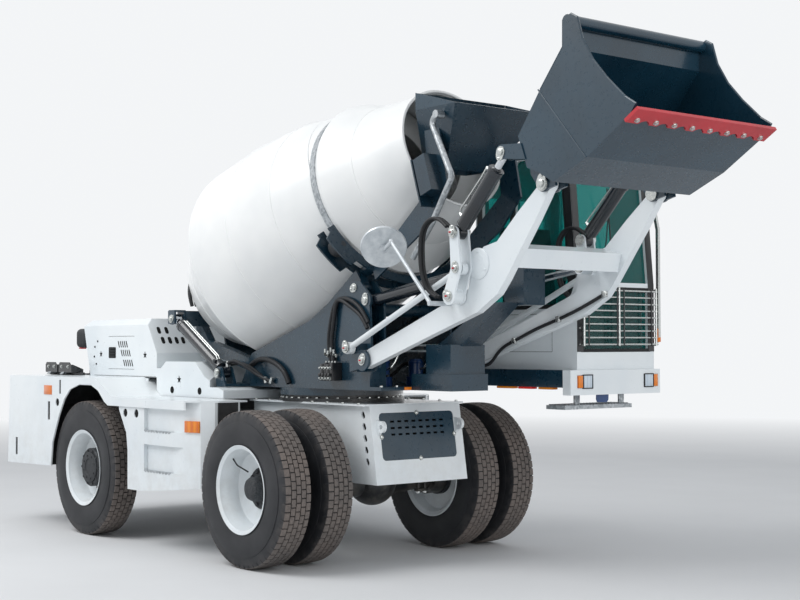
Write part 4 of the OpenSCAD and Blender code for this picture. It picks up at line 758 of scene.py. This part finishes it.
seams.append(rectOutline(-2566, -1514, 1243, 1246, 0.8))
seams = joined(*[atSide(seam, hood["face"] - 0.2, 0.8) for seam in seams])
addPiece("hood_seams", bothSides(seams), "seal", "chassis")
slope = {"foot": (-1500.0, 1432.0), "top": (-1642.0, 1656.0), "oval": (65, 30),
         "rows": ((118, (-610, -548, -487, -428)), (212, (-620, -551)))}
rise = np.array(slope["top"]) - slope["foot"]
rise /= np.linalg.norm(rise)
# painted shade: thin dark sheets on the slope, in the shape of the oval holes, stand in for the shade inside
# them
ovals = []
for s, ys in slope["rows"]:
    middle = np.array(slope["foot"]) + rise * s
    for y in ys:
        upright = plate(slotOutline(0, 0, *slope["oval"]), 0.5, 2.2, "x")
        leaning = turned(upright, -math.degrees(math.atan2(-rise[0], rise[1])), "y")
        ovals.append(shifted(leaning, (middle[0], y, middle[1])))
addPiece("hood_ovals", bothSides(joined(*ovals)), "dark", "chassis")
hoodBolts = [(x, -hood["face"], z) for x, z in hood["bolts"]]
addPiece("hood_bolts", bothSides(boltHeads(hoodBolts, (0, -1, 0), 8)), "black", "chassis")
print("hood dressed")

# Rear lamps and the rack on the deck
lamps = {"low": (-3000, 452, 1472), "high": (-2806, 668, 1638), "round": 42}
housing = joined(roundBlock(lamps["low"], lamps["high"], lamps["round"], 5),
                 roundBlock((-2826, 500, 1500), (-2770, 620, 1610), 14),
                 pipe([(-2790, 560, 1560), (-2760, 560, 1500), (-2790, 560, 1420), (-2900, 560, 1380),
                       (-2900, 560, 1243)], 17, 60, 12),
                 roundBlock((-2955, 500, 1241), (-2845, 620, 1252), 4))
addPiece("lamp_housings", bothSides(housing), "plastic", "chassis", ["rear_lamps"])
lens = joined(revolved([[0, 62], [6, 62], [10, 56], [12, 30], [12.5, 2]], (-2998, 560, 1560), (-1, 0, 0), 40),
              roundBlock((-2985, 478, 1463), (-2935, 530, 1476), 5),
              roundBlock((-2985, 590, 1463), (-2935, 642, 1476), 5))
addPiece("lamp_lenses", bothSides(lens), "redLens", "chassis")
rack = {"trays": ((-3262, -3032), (-3004, -2762)), "outer": 819, "foot": 1268, "bolts": 1312}
rackFrames, straps, rackBolts = [], [], []
for x0, x1 in rack["trays"]:
    rackFrames.append(plate([(x0, rack["foot"]), (x0, 1330), (x0 + 26, 1350), (x1 - 40, 1350), (x1, 1318),
                             (x1, rack["foot"])], rack["outer"] - 7, rack["outer"]))
    rackFrames.append(roundBlock((x0, 704, 1262), (x1, rack["outer"], 1270), 2))
    rackFrames.append(plate([(704, 1264), (704, 1290), (800, 1346), (815, 1346), (815, 1264)],
                            x0 + 4, x0 + 10, "x"))
    rackFrames.append(plate([(704, 1264), (704, 1290), (800, 1330), (815, 1330), (815, 1264)],
                            x1 - 10, x1 - 4, "x"))
    rackBolts += [(x, rack["outer"], rack["bolts"]) for x in (x0 + 60, x1 - 60)]
    straps.append(plate([(x0 + 30, 1246), (x0 + 80, 1246), (x0 + 120, 1268), (x0 + 70, 1268)], 700, 824))
rackFrames.append(roundBlock((-3300, 720, 1241), (-2700, 760, 1264), 4))
addPiece("rack_frames", bothSides(joined(*rackFrames)), "black", "chassis", ["rear_rack"])
addPiece("rack_straps", bothSides(joined(*straps)), "zinc", "chassis")
addPiece("rack_bolts", bothSides(boltHeads(rackBolts, (0, 1, 0), 13)), "plated", "chassis")
print("rear lamps and rack made")

# Drum: weld beads, rolled mouth, two spiral blades inside
drum = {"centre": (542, 0, 2576), "tilt": 18, "beadHeight": 3.5,
        "beads": ((-1749, 614), (-1391, 820), (-894, 802), (-397, 733), (300, 522)),
        "inside": ((-1900, 520), (-1749, 600), (-1391, 806), (-894, 788),
                   (-397, 719), (62, 612), (300, 508), (735, 402)),
        "mouth": 755, "mouthRadius": 421, "rollRadius": 9,
        "bladeFrom": -1500, "bladeTo": 640, "bladeHeight": 190, "bladeThick": 8, "turnsPerMetre": 0.95}
drumAxis = (math.cos(math.radians(drum["tilt"])), 0, math.sin(math.radians(drum["tilt"])))
beads = []
for s, r in drum["beads"]:
    h = drum["beadHeight"]
    beads.append(hoop([[s - 10, r - 4], [s - 6, r + 0.5 * h], [s, r + h], [s + 6, r + 0.4 * h],
                       [s + 10, r - 6]], drum["centre"], drumAxis, 128))
roll = circle(drum["rollRadius"], 12) + (drum["mouth"] - 7, drum["mouthRadius"] - 6)
beads.append(hoop(roll, drum["centre"], drumAxis, 96))
addPiece("drum_beads", joined(*beads), "drumWhite", "drum")
# A blade's angle grows with the place along the drum; its outer edge follows the shell's inside
stations = np.array(drum["inside"], float)
blades = []
for start in (0.0, np.pi):
    s = np.linspace(drum["bladeFrom"], drum["bladeTo"], 160)
    shell = np.interp(s, stations[:, 0], stations[:, 1])
    twist = start + 2 * np.pi * drum["turnsPerMetre"] * s / 1000
    deep = np.minimum(drum["bladeHeight"], shell * 0.42)
    back = s + drum["bladeThick"]
    section = [(shell - 1, s), (shell - deep, s), (shell - deep, back), (shell - 1, back)]
    grid = np.stack([rowsOf(r * np.cos(twist), r * np.sin(twist), along) for r, along in section], 1)
    points = grid @ axisFrame(drumAxis) + np.asarray(drum["centre"], float)
    last = len(s) * 4 - 4
    faces = gridFaces(len(s), 4, wrapCols=True) + [[0, 1, 2, 3], [last, last + 1, last + 2, last + 3]]
    blades.append((points.reshape(-1, 3), faces))
addPiece("drum_blades", joined(*blades), "drumWhite", "drum")
print("drum dressed")

# Drum drive: thick hoses from the motor down to the cradle, motor flange bolts
drive = {"hoseRadius": 15, "hoses": (-120, -165, -205), "flange": -2110, "flangeRadius": 145}
driveHoses = [hose([(-1560, y, 1990), (-1540, y - 60, 2100), (-1440, y - 150, 2130), (-1385, y - 240, 2030),
                    (-1330, y - 300, 1900), (-1290, y - 300, 1800)], drive["hoseRadius"], 48, 12)
              for y in drive["hoses"]]
addPiece("drive_hoses", joined(*driveHoses), "hose", "cradle")
spin = np.arange(10) * np.pi / 5
flangeBolts = rowsOf(drive["flangeRadius"] * np.cos(spin), drive["flangeRadius"] * np.sin(spin),
                     drive["flange"])
flangeBolts = flangeBolts @ axisFrame(drumAxis) + drum["centre"]
addPiece("drive_bolts", boltHeads(flangeBolts, [-v for v in drumAxis], 11), "plated", "cradle")
print("drum drive dressed")

# Turret: pin keepers, valve block, hoses, pipes between the uprights, bolts, slewing motors, lamps
pins = {"rod": (830, 1470), "arm": (925, 1388), "lift": (840, 1790), "cradle": (720, 1880), "keeper": 34,
        "rodOut": 580, "armOut": 517, "uprightOut": 424}


def keeper(point, y, lean=0.0, size=None):
    # a pin's keeper: an egg-shaped plate with one bolt and a raised pin end, its radius at an angle being
    # size * (1 + 0.55 * cos(angle) cubed) on the long side and size on the round one
    size = size or pins["keeper"]
    angle = np.linspace(0, 2 * np.pi, 28, endpoint=False)
    reach = size * (1 + 0.55 * np.clip(np.cos(angle), 0, 1) ** 3)
    egg = rowsOf(point[0] + reach * np.cos(angle + math.radians(lean)),
                 point[1] + reach * np.sin(angle + math.radians(lean)))
    disc = revolved([[-1, size * 0.62], [9, size * 0.62], [11, size * 0.5], [11.5, 2]],
                    (point[0], y - 5, point[1]), (0, -1, 0), 24)
    c, s = math.cos(math.radians(lean)), math.sin(math.radians(lean))
    bolt = boltHeads([(point[0] + size * 1.15 * c, y - 5, point[1] + size * 1.15 * s)], (0, -1, 0), 8)
    return joined(plate(egg, y - 6, y), disc, bolt)


def grease(points, y):
    # small red caps at the pins' middles
    return joined(*[revolved([[0, 6], [7, 6], [9, 2]], (x, y - 16, z), (0, -1, 0), 12) for x, z in points])


turretKeepers = joined(keeper(pins["rod"], -pins["rodOut"], 100), keeper(pins["arm"], -pins["armOut"], 55),
                       keeper(pins["lift"], -pins["uprightOut"], 80),
                       keeper(pins["cradle"], -pins["uprightOut"], 200, 30))
addPiece("turret_keepers", bothSides(turretKeepers), "plated", "turret")
turretCaps = joined(grease([pins["rod"]], -pins["rodOut"]), grease([pins["arm"]], -pins["armOut"]))
addPiece("turret_caps", bothSides(turretCaps), "red", "turret")
valve = {"low": (440, -513, 1240), "high": (580, -424, 1378), "sections": 4,
         "elbows": ((420, 1420), (452, 1408), (486, 1428), (520, 1416))}
width = (valve["high"][0] - valve["low"][0]) / valve["sections"]
slices, fittings = [], []
for k in range(valve["sections"]):
    x0 = valve["low"][0] + k * width
    slices.append(roundBlock((x0 + 1, valve["low"][1] + 4 * (k % 2), 1246),
                             (x0 + width - 1, -424, 1362 + 8 * (k % 2)), 4))
    slices.append(revolved([[0, 13], [26, 13], [30, 9], [30.5, 2]], (x0 + width / 2, -505, 1285),
                           (0, -1, 0), 16))
    for z in (1262, 1332):
        fittings.append(revolved([[0, 11], [9, 11], [9, 8], [24, 8], [26, 5]], (x0 + width / 2, -508, z),
                                 (0, -1, 0), 12))
    fittings.append(revolved([[0, 7], [18, 7], [20, 4]], (x0 + width / 2, -470, 1362), (0, 0, 1), 12))
addPiece("valve_sections", joined(*slices), "black", "turret", ["valve_block"])
elbows = [pipe([(x, -428, z), (x, -452, z), (x + 14, -462, z + 20), (x + 14, -462, z + 44)], 8, 12, 10)
          for x, z in valve["elbows"]]
elbowNuts = [revolved([[0, 15], [12, 15], [14, 10]], (x, -426, z), (0, -1, 0), 6) for x, z in valve["elbows"]]
addPiece("valve_fittings", joined(*elbows, *elbowNuts, *fittings), "plated", "turret")
line = {"hose": 13, "thick": 19}
deckHoses = joined(
    hose([(-675, -560, 1352), (-600, -556, 1372), (-522, -530, 1347), (-386, -460, 1262), (-271, -445, 1228)],
         line["hose"], 36),
    hose([(-675, -530, 1346), (-560, -500, 1352), (-430, -455, 1290), (-330, -445, 1228)],
         line["hose"] - 2, 30),
    hose([(-569, -436, 1330), (-470, -444, 1372), (-339, -446, 1387), (-190, -446, 1352), (-80, -444, 1280),
          (-40, -442, 1216)], line["thick"], 40))
addPiece("deck_hoses", bothSides(deckHoses), "hose", "turret")
hoseEnds = (((-271, -445, 1214), (0.35, 0, 0.93)), ((-330, -445, 1214), (-0.2, 0, 0.98)),
            ((-675, -560, 1330), (0, 0, 1)))
endProfile = [[0, 17], [26, 17], [26, 13], [44, 13], [46, 8]]
ends = [revolved(endProfile, place, facing, 6) for place, facing in hoseEnds]
addPiece("deck_hose_ends", bothSides(joined(*ends)), "plated", "turret")
uprightHoses = [hose([(470 + dx, y, 1380), (448 + dx, y, 1490), (474 + dx, y, 1663), (544 + dx / 2, y, 1793),
                      (693, y, 1796 - dx), (830, y, 1716 - dx), (893, y, 1640 - dx)], 14, 60)
                for dx, y in ((0, -440), (40, -446))]
addPiece("upright_hoses", joined(*uprightHoses), "hose", "turret")
crossPipes = joined(*[pipe([(895, -284, z), (895, 284, z)], 9, 1, 14) for z in (1487, 1447)])
addPiece("cross_pipes", crossPipes, "zinc", "turret")
deckTop = 1209
deckBolts = [(x, y, deckTop) for x in (-720, -560, 560, 960) for y in (-380, -250, 250, 380)]
deckBolts += [(x, y, deckTop) for x in (-300, 0, 300) for y in (-380, 380)]
addPiece("deck_bolts", boltHeads(deckBolts, (0, 0, 1), 12), "plated", "turret")
motor = {"x": 700, "y": (-170, 130), "top": 1359,
         "cap": ((0, 50), (10, 54), (16, 54), (22, 46), (30, 44), (34, 30), (35, 2))}
motors, motorFittings = [], []
for y in motor["y"]:
    motors.append(revolved(motor["cap"], (motor["x"], y, motor["top"]), (0, 0, 1), 32))
    motors.append(roundBlock((652, y - 30, 1290), (motor["x"], y + 30, 1350), 8))
    motorFittings += [revolved([[0, 12], [16, 12], [16, 9], [34, 9], [36, 5]], (668, y + dy, 1326),
                               (-1, 0, 0.25), 10) for dy in (-20, 14)]
    motorFittings += [revolved([[0, 10], [14, 10], [16, 6]], (motor["x"] + dx, y, 1271), (0, 0, 1), 6)
                      for dx in (-60, 60)]
    motorFittings.append(pipe([(752, y, 1320), (790, y, 1330), (800, y + 30, 1370),
                               (806, y + 60, 1430)], 8, 25, 10))
addPiece("motor_caps", joined(*motors), "blue", "turret")
addPiece("motor_fittings", joined(*motorFittings), "plated", "turret")
motorHoses = joined(hose([(640, -190, 1334), (560, -200, 1350), (500, -150, 1300), (470, -80, 1240)], 12, 24),
                    hose([(640, 144, 1334), (570, 150, 1360), (500, 110, 1300), (450, 40, 1235)], 12, 24),
                    hose([(806, -110, 1430), (830, -60, 1500), (870, 20, 1540), (880, 90, 1500)], 11, 26))
addPiece("motor_hoses", motorHoses, "hose", "turret")
beam = {"y": (622, 672), "z": (1184, 1199.5), "amber": ((1000, 1170), (1420, 1560)), "red": (1220, 1360)}


def beamLamp(x0, x1):
    # a lens along the cab's beam
    return roundBlock((x0, beam["y"][0], beam["z"][0]), (x1, beam["y"][1], beam["z"][1]), 4)


deckLamps = [roundBlock((1009, y, 1187), (1017, y + 60, 1207), 2) for y in (-225, 305)]
consoleLamps = joined(*deckLamps, *[beamLamp(x0, x1) for x0, x1 in beam["amber"]])
addPiece("console_lamps", consoleLamps, "amber", "turret")
addPiece("beam_lamps", beamLamp(*beam["red"]), "redLens", "turret")
print("turret dressed")

# Drum's tilt cylinders: gland rings, supply lines, keepers
tilt = {"foot": (-675, 1290), "eye": (-1390, 1697), "y": 585, "barrel": 730, "port": 110, "portSide": 32,
        "footOut": 654, "eyeOut": 635.5}
way = np.array(tilt["eye"]) - tilt["foot"]
way = way / np.linalg.norm(way)
along3 = (way[0], 0, way[1])


def onLine(foot, direction, s, y, lift=0.0):
    # a place s along a cylinder from its foot, lifted square to it
    x = foot[0] + direction[0] * s - direction[1] * lift
    z = foot[1] + direction[1] * s + direction[0] * lift
    return (x, y, z)


barrelEnd = onLine(tilt["foot"], way, tilt["barrel"], -tilt["y"])
portPlace = onLine(tilt["foot"], way, tilt["port"], -tilt["y"] - tilt["portSide"], -tilt["portSide"])
gland = joined(hoop([[-34, 45], [-30, 50], [-4, 50], [0, 45]], barrelEnd, along3, 40),
               revolved([[0, 14], [20, 14], [24, 9]], portPlace, (0.3, -1, 0.2), 10))
addPiece("tilt_glands", bothSides(gland), "gloss", "drum_lift_barrels")
supplyRun = ((120, -40), (150, -56), (tilt["barrel"] - 40, -56), (tilt["barrel"] - 20, -44))
supply = [pipe([onLine(tilt["foot"], way, s, -tilt["y"] + dy, lift) for s, lift in supplyRun], 6, 14, 10)
          for dy in (-12, 8)]
addPiece("tilt_lines", bothSides(joined(*supply)), "plated", "drum_lift_barrels")
addPiece("tilt_keepers", bothSides(keeper(tilt["foot"], -tilt["footOut"], 250, 30)), "plated", "turret")
addPiece("eye_keepers", bothSides(keeper(tilt["eye"], -tilt["eyeOut"], 30, 30)), "plated", "cradle")
print("drum cylinders dressed")

# Loader arms: keepers, round plates, clipped hose and lines
loader = {"lever": (1900, 1785), "rod": (1965, 1951), "top": (1948, 2170), "bucket": (2640, 2410),
          "tiltEye": (2370, 2612), "liftEye": (2110, 1975), "plate": (2059, 1978),
          "armOut": 493, "leverOut": 596, "headOut": 608, "liftEyeOut": 307, "plateBolts": 74,
          "hose": 11.5, "armHoseY": 424, "leverHoseY": -584, "leverHoses": (0, 25)}
leverParts = joined(keeper(loader["lever"], -loader["leverOut"], 150),
                    keeper(loader["rod"], -loader["leverOut"], 95, 30),
                    keeper(loader["top"], -loader["headOut"], 80, 30))
addPiece("lever_keepers", bothSides(leverParts), "plated", "levers")
leverCaps = joined(grease([loader["lever"], loader["rod"]], -loader["leverOut"] - 4),
                   grease([loader["top"]], -loader["headOut"]))
addPiece("lever_caps", bothSides(leverCaps), "red", "levers")
plateX, plateZ = loader["plate"]
roundPlate = revolved([[0, 96], [5, 96], [7, 93], [7.5, 60], [9, 58], [9.5, 2]],
                      (plateX, -loader["armOut"] + 0.5, plateZ), (0, -1, 0), 64)
spot = np.radians([90, 210, 330])
boltPlaces = rowsOf(plateX + loader["plateBolts"] * np.cos(spot), -loader["armOut"] - 6,
                    plateZ + loader["plateBolts"] * np.sin(spot))
plateBolts = boltHeads(boltPlaces, (0, -1, 0), 8)
addPiece("arm_plates", bothSides(joined(roundPlate, plateBolts)), "white", "arms")
liftKeeper = keeper(loader["liftEye"], -loader["liftEyeOut"], 60, 30)
addPiece("lift_keepers", bothSides(liftKeeper), "plated", "arms")
armRun = ((1085, 1345), (1130, 1352), (1240, 1440), (1397, 1516), (1600, 1590), (1818, 1655),
          (2050, 1735), (2246, 1815))
armLine = [(x, loader["armHoseY"], z) for x, z in armRun]
addPiece("arm_hose", hose(armLine, loader["hose"], 60), "hose", "arms")
clips = [roundBlock((x - 18, 410, z - 20), (x + 18, 437, z + 20), 5)
         for x, z in ((1397, 1516), (1818, 1655), (2230, 1808))]
addPiece("arm_clips", joined(*clips), "plated", "arms")
leverRun = ((1800, 0, 1782), (1721, 0, 1828), (1663, 0, 1923), (1645, 0, 2079), (1672, 0, 2208),
            (1745, 0, 2262), (1840, -2, 2250), (1905, -4, 2206))
leverHoses = [hose([(x, loader["leverHoseY"] + y - dy, z) for x, y, z in leverRun], loader["hose"], 60)
              for dy in loader["leverHoses"]]
addPiece("lever_hoses", bothSides(joined(*leverHoses)), "hose", "levers")
reach = np.array(loader["tiltEye"]) - loader["top"]
reach = reach / np.linalg.norm(reach)
reach3 = (reach[0], 0, reach[1])
barrel = {"length": 490, "y": 548, "firstPort": 90, "lastPort": 444}
mouth = onLine(loader["top"], reach, barrel["length"], -barrel["y"])
tiltGland = joined(hoop([[-40, 44.5], [-36, 50], [-4, 50], [0, 44.5]], mouth, reach3, 40),
                   hoop([[-6, 42], [-6, 36], [8, 30], [8, 24]], mouth, reach3, 40))
addPiece("bucket_glands", bothSides(tiltGland), "gloss", "tilt_barrels")
portProfile = [[0, 15], [18, 15], [18, 10], [36, 10], [38, 6]]
ports = [revolved(portProfile, onLine(loader["top"], reach, s, -barrel["y"], 40), (-reach[1], 0, reach[0]), 6)
         for s in (barrel["firstPort"], barrel["lastPort"])]
portRun = ((barrel["firstPort"], 0, 76), (120, -8, 82), (380, -8, 66), (barrel["lastPort"], 0, 76))
portLine = pipe([onLine(loader["top"], reach, s, -barrel["y"] + dy, lift)
                 for s, dy, lift in portRun], 6, 30, 10)
addPiece("bucket_ports", bothSides(joined(*ports, portLine)), "plated", "tilt_barrels")
print("loader dressed")

# Bucket: bolts through the scalloped edge, weld lines, plates at its ears
edge = {"start": (3366, 2708), "lean": 31.84, "pitch": 150, "back": 16, "under": 20.3, "boltSize": 15}
c, s = math.cos(math.radians(edge["lean"])), math.sin(math.radians(edge["lean"]))
boltX = edge["start"][0] - edge["back"] * c + edge["under"] * s
boltZ = edge["start"][1] - edge["back"] * s - edge["under"] * c
edgeBolts = [(boltX, y, boltZ) for y in (np.arange(8) - 3.5) * edge["pitch"]]
addPiece("edge_bolts", boltHeads(edgeBolts, (s, 0, -c), edge["boltSize"]), "plated", "bucket")


def weld(first, last, y, radius=4.5):
    # a flat bead along a line on a side face
    return pipe([(first[0], y, first[1]), (last[0], y, last[1])], radius, 1, 8)


welds = joined(weld((2674, 2936), (3045, 2513), -585), weld((2871, 3299), (2869, 3150), -584, 3),
               weld((2869, 3150), (2689, 2935), -584, 3))
addPiece("bucket_welds", bothSides(welds), "slate", "bucket")
earPlates = joined(keeper(loader["tiltEye"], -593, 250, 34), keeper(loader["bucket"], -529, 80, 38))
addPiece("bucket_keepers", bothSides(earPlates), "plated", "bucket")
rimLine = [(3405, 2760), (3331, 2806), (3199, 2929), (3095, 3045), (3019, 3170), (2981, 3296), (2930, 3325)]
rims = joined(*[weld(a, b, -578, 6.5) for a, b in zip(rimLine[:-1], rimLine[1:])])
addPiece("bucket_rims", bothSides(rims), "slate", "bucket")
print("bucket dressed")

# Cab: seals, lamps, flap, guard bars, bolts, wiper, step ribs, seams, door rail, dark pillars and lining
cab = {"front": 1735, "inner": 680, "outer": 1450, "bar": 1755, "sill": 1460, "guardTop": 1862,
       "lampLow": 1199.2, "lampHigh": 1280.8, "lampDeep": 14, "sealY": (674.5, 680.5), "sheetY": (677, 679.8),
       "grooveY": (679.4, 680.6), "guardBars": (760, 1042, 1108, 1388), "guardX": 1771}


def frameStrip(low, high, x, thick, width):
    # four bars round an opening that looks forward
    (y0, z0), (y1, z1) = low, high
    bars = (((y0 - width, z0 - width), (y0, z1 + width)), ((y1, z0 - width), (y1 + width, z1 + width)),
            ((y0, z0 - width), (y1, z0)), ((y0, z1), (y1, z1 + width)))
    return joined(*[roundBlock((x, *first), (x + thick, *last), 1.5) for first, last in bars])


def barLamp(y0, y1):
    # a lens on the lamp bar's front
    return roundBlock((cab["bar"] + 1, y0, cab["lampLow"]),
                      (cab["bar"] + cab["lampDeep"], y1, cab["lampHigh"]), 0.7)


frontSeal = frameStrip((cab["inner"] + 62, cab["sill"]), (cab["outer"] - 62, cab["guardTop"]),
                       cab["front"] - 1, 4, 22)
addPiece("window_seals", frontSeal, "seal", "turret")
sideSeal = plate([(1640, 1756), (1676, 1756), (1670, 1952), (1616, 2582), (1516, 2784), (1500, 2784),
                  (1604, 2576), (1654, 1950), (1658, 1762), (1640, 1762)], *cab["sealY"])
sillSeal = roundBlock((1140, cab["sealY"][0], 1748), (1672, cab["sealY"][1], 1762), 1.5)
addPiece("side_seals", joined(sideSeal, sillSeal), "seal", "turret")
ambers = joined(barLamp(659.2, 700.8), barLamp(1409.2, 1450.8),
                roundBlock((1741, 1452, 1505), (1776, 1482, 1604), 7))
addPiece("cab_ambers", ambers, "amber", "turret")
headlamps = joined(barLamp(709.2, 790.8), barLamp(1319.2, 1400.8))
addPiece("headlamps", headlamps, "lamp", "turret")
lampFrames = [frameStrip((y0, 1199), (y1, 1281), cab["bar"] + 0.5, 16, 7)
              for y0, y1 in ((709, 791), (1319, 1401))]
addPiece("lamp_frames", joined(*lampFrames), "plastic", "turret")
blueFlap = plate([(868, 1152), (986, 1152), (984, 1112), (968, 1096), (876, 1098), (866, 1120)],
                 1728, 1734, "x")
addPiece("blue_flap", blueFlap, "blue", "turret")
guardBars = [pipe([(cab["guardX"], y, 1482), (cab["guardX"], y, 1872)], 5.5, 1, 10) for y in cab["guardBars"]]
addPiece("guard_uprights", joined(*guardBars), "black", "turret")
cornerBolts = boltHeads([(1736, y, z) for y in (706, 1424) for z in (1490, 1600, 1700)], (1, 0, 0), 6)
addPiece("cab_bolts", cornerBolts, "plated", "turret")
wiper = joined(pipe([(1736, 900, 1908), (1748, 905, 1925), (1747, 960, 2200), (1743, 990, 2420)], 4.5, 20, 8),
               pipe([(1744, 1010, 2140), (1738, 980, 2560)], 5.5, 1, 8))
addPiece("wiper", wiper, "plastic", "turret")
step = {"x": (1484, 1656), "y": (660, 1290), "z": (1076.5, 1084), "pitch": 30, "rib": 9}
stepRibs = [roundBlock((step["x"][0], y, step["z"][0]), (step["x"][1], y + step["rib"], step["z"][1]), 2)
            for y in np.arange(*step["y"], step["pitch"])]
addPiece("step_ribs", joined(*stepRibs), "zinc", "turret")
sideGroove = [rectOutline(900, 1500, z - 1.5, z + 1.5, 1) for z in (1440, 1700)]
sideGroove += [rectOutline(x - 1.5, x + 1.5, 1440, 1700, 1) for x in (900, 1500)]
addPiece("cab_grooves", joined(*[plate(groove, *cab["grooveY"]) for groove in sideGroove]), "seal", "turret")
doorRail = pipe([(1330, 1452, 1800), (1330, 1474, 1812), (1330, 1474, 2040), (1330, 1452, 2052)], 8, 14, 10)
addPiece("door_rail", doorRail, "black", "door")
# Pillars: an angle round each front corner, posts and beam on the side that the drum sees
corner = [(1736, 1440), (1739, 1440), (1739, 1901), (1679, 2601), (1549, 2901), (1546, 2899),
          (1676, 2600), (1736, 1900)]
pillar = [(1677, 1758), (1735, 1758), (1735, 1900), (1675, 2600), (1545, 2899), (1455, 2899), (1511, 2785),
          (1615, 2582), (1669, 1952)]
sideSheets = [pillar, rectOutline(1087, 1143, 1750, 2790, 2), rectOutline(760, 1455, 2786, 2896, 4),
              rectOutline(742, 794, 1750, 2790, 2), rectOutline(742, 1735, 1735, 1757, 2)]
pillars = joined(plate(corner, 681, 739), plate(corner, 1391, 1449),
                 *[plate(sheet, *cab["sheetY"]) for sheet in sideSheets])
addPiece("cab_pillars", pillars, "black", "turret")
# Lining: floor, rear wall, roof, door side, inner side
linings = (((772, 726, 1363.5), (1688, 1404, 1366)), ((770.5, 726, 1366), (774, 1404, 1796)),
           ((772, 726, 2850), (1540, 1404, 2854)), ((1424, 1401, 1366), (1660, 1404.5, 1900)),
           ((800, 725.5, 1366), (1680, 728, 1756)))
lining = joined(*[roundBlock(low, high, 1) for low, high in linings])
addPiece("cab_lining", lining, "plastic", "turret")
print("cab dressed")


# Camera, light and floor
view = {"place": (8.499, -6.2635, 1.485), "yaw": 141.28, "pitch": 1.823, "roll": -0.14, "lens": 64.5}
optics = bpy.data.cameras.new("photo view")
optics.lens, optics.sensor_width, optics.clip_end = view["lens"], 36.0, 200.0
camera = bpy.data.objects.new("camera", optics)
bpy.context.scene.collection.objects.link(camera)
# The camera's axes: ahead from yaw and pitch, a level sideways axis turned about it by the roll, and up
yaw, pitch, roll = (math.radians(view[k]) for k in ("yaw", "pitch", "roll"))
ahead = np.array([math.cos(pitch) * math.cos(yaw), math.cos(pitch) * math.sin(yaw), math.sin(pitch)])
level = np.array([math.sin(yaw), -math.cos(yaw), 0.0])
across = level * math.cos(roll) + np.cross(level, ahead) * math.sin(roll)
upward = np.cross(across, ahead)
placed = np.eye(4)
placed[:3] = np.stack([across, upward, -ahead, np.array(view["place"]) + slewAxis], 1)
camera.matrix_world = Matrix(placed.tolist())
bpy.context.scene.camera = camera

light = {"skyStrength": 0.54, "sky": (0.93, 0.96, 1.0), "backdrop": (0.90, 0.915, 0.93),
         "key": 740, "keyPlace": (-3.0, -7.0, 9.5), "keySize": 7.0, "keyAim": (0.0, 0.0, 1.4),
         "fill": 200, "fillPlace": (9.0, -1.0, 4.0), "fillSize": 6.0, "fillAim": (0.5, 0.0, 1.6)}
floorLook = {"half": 90.0, "fadeFrom": 9.0, "fadeTo": 20.0, "near": (0.72, 0.73, 0.74, 1.0),
             "patch": (0.69, 0.70, 0.71, 1.0)}
world = bpy.data.worlds.new("studio")
bpy.context.scene.world = world
world.use_nodes = True
tree = world.node_tree
shown = tree.nodes.new("ShaderNodeBackground")
shown.inputs[0].default_value, shown.inputs[1].default_value = light["backdrop"] + (1.0,), 1.0
ambient = tree.nodes["Background"]
ambient.inputs[0].default_value, ambient.inputs[1].default_value = light["sky"] + (1.0,), light["skyStrength"]
rays = tree.nodes.new("ShaderNodeLightPath")
seen = tree.nodes.new("ShaderNodeMath")
seen.operation, seen.use_clamp = "ADD", True
glossy = tree.nodes.new("ShaderNodeMath")
glossy.operation, glossy.use_clamp = "ADD", True
choice = tree.nodes.new("ShaderNodeMixShader")
# The backdrop shows to camera, glossy and transmission rays; all others get the sky's light
worldLinks = ((rays.outputs["Is Camera Ray"], seen.inputs[0]),
              (rays.outputs["Is Glossy Ray"], glossy.inputs[0]),
              (rays.outputs["Is Transmission Ray"], glossy.inputs[1]), (glossy.outputs[0], seen.inputs[1]),
              (seen.outputs[0], choice.inputs[0]), (ambient.outputs[0], choice.inputs[1]),
              (shown.outputs[0], choice.inputs[2]), (choice.outputs[0], tree.nodes["World Output"].inputs[0]))
for a, b in worldLinks:
    tree.links.new(a, b)
for word in ("key", "fill"):
    lamp = bpy.data.lights.new(word, "AREA")
    lamp.energy, lamp.size = light[word], light[word + "Size"]
    holder = bpy.data.objects.new(word, lamp)
    bpy.context.scene.collection.objects.link(holder)
    away = axisFrame(np.array(light[word + "Place"]) - light[word + "Aim"])
    turn = np.eye(4)
    turn[:3, :3], turn[:3, 3] = away.T, light[word + "Place"]
    holder.matrix_world = Matrix(turn.tolist())

ground = Recipe("pale floor")
spread = ground.node("VectorMath", {0: ground.place, 1: (1.0, 1.0, 0.0)}, operation="MULTIPLY").outputs[0]
distance = ground.node("VectorMath", {0: spread}, operation="LENGTH").outputs["Value"]
far = ground.range(distance, floorLook["fadeFrom"], floorLook["fadeTo"])
ground.feed("Base Color", ground.mix(ground.range(ground.noise(0.8, 3), 0.3, 0.7), floorLook["near"],
                                     floorLook["patch"]))
ground.set(Roughness=0.8)
glow = ground.node("Emission", {"Color": light["backdrop"] + (1.0,), "Strength": 1.0})
blendOut = ground.node("MixShader", {0: far})
ground.tree.links.new(ground.shader.outputs[0], blendOut.inputs[1])
ground.tree.links.new(glow.outputs[0], blendOut.inputs[2])
ground.tree.links.new(blendOut.outputs[0], ground.tree.nodes["Material Output"].inputs[0])
floorMesh = bpy.data.meshes.new("floor")
half = floorLook["half"]
floorMesh.from_pydata([(-half, -half, 0), (half, -half, 0), (half, half, 0), (-half, half, 0)],
                      [], [(0, 1, 2, 3)])
floorMesh.materials.append(ground.material)
floor = bpy.data.objects.new("floor", floorMesh)
bpy.context.scene.collection.objects.link(floor)
bpy.context.scene.view_settings.view_transform = "Standard"
print("camera, light and floor set")
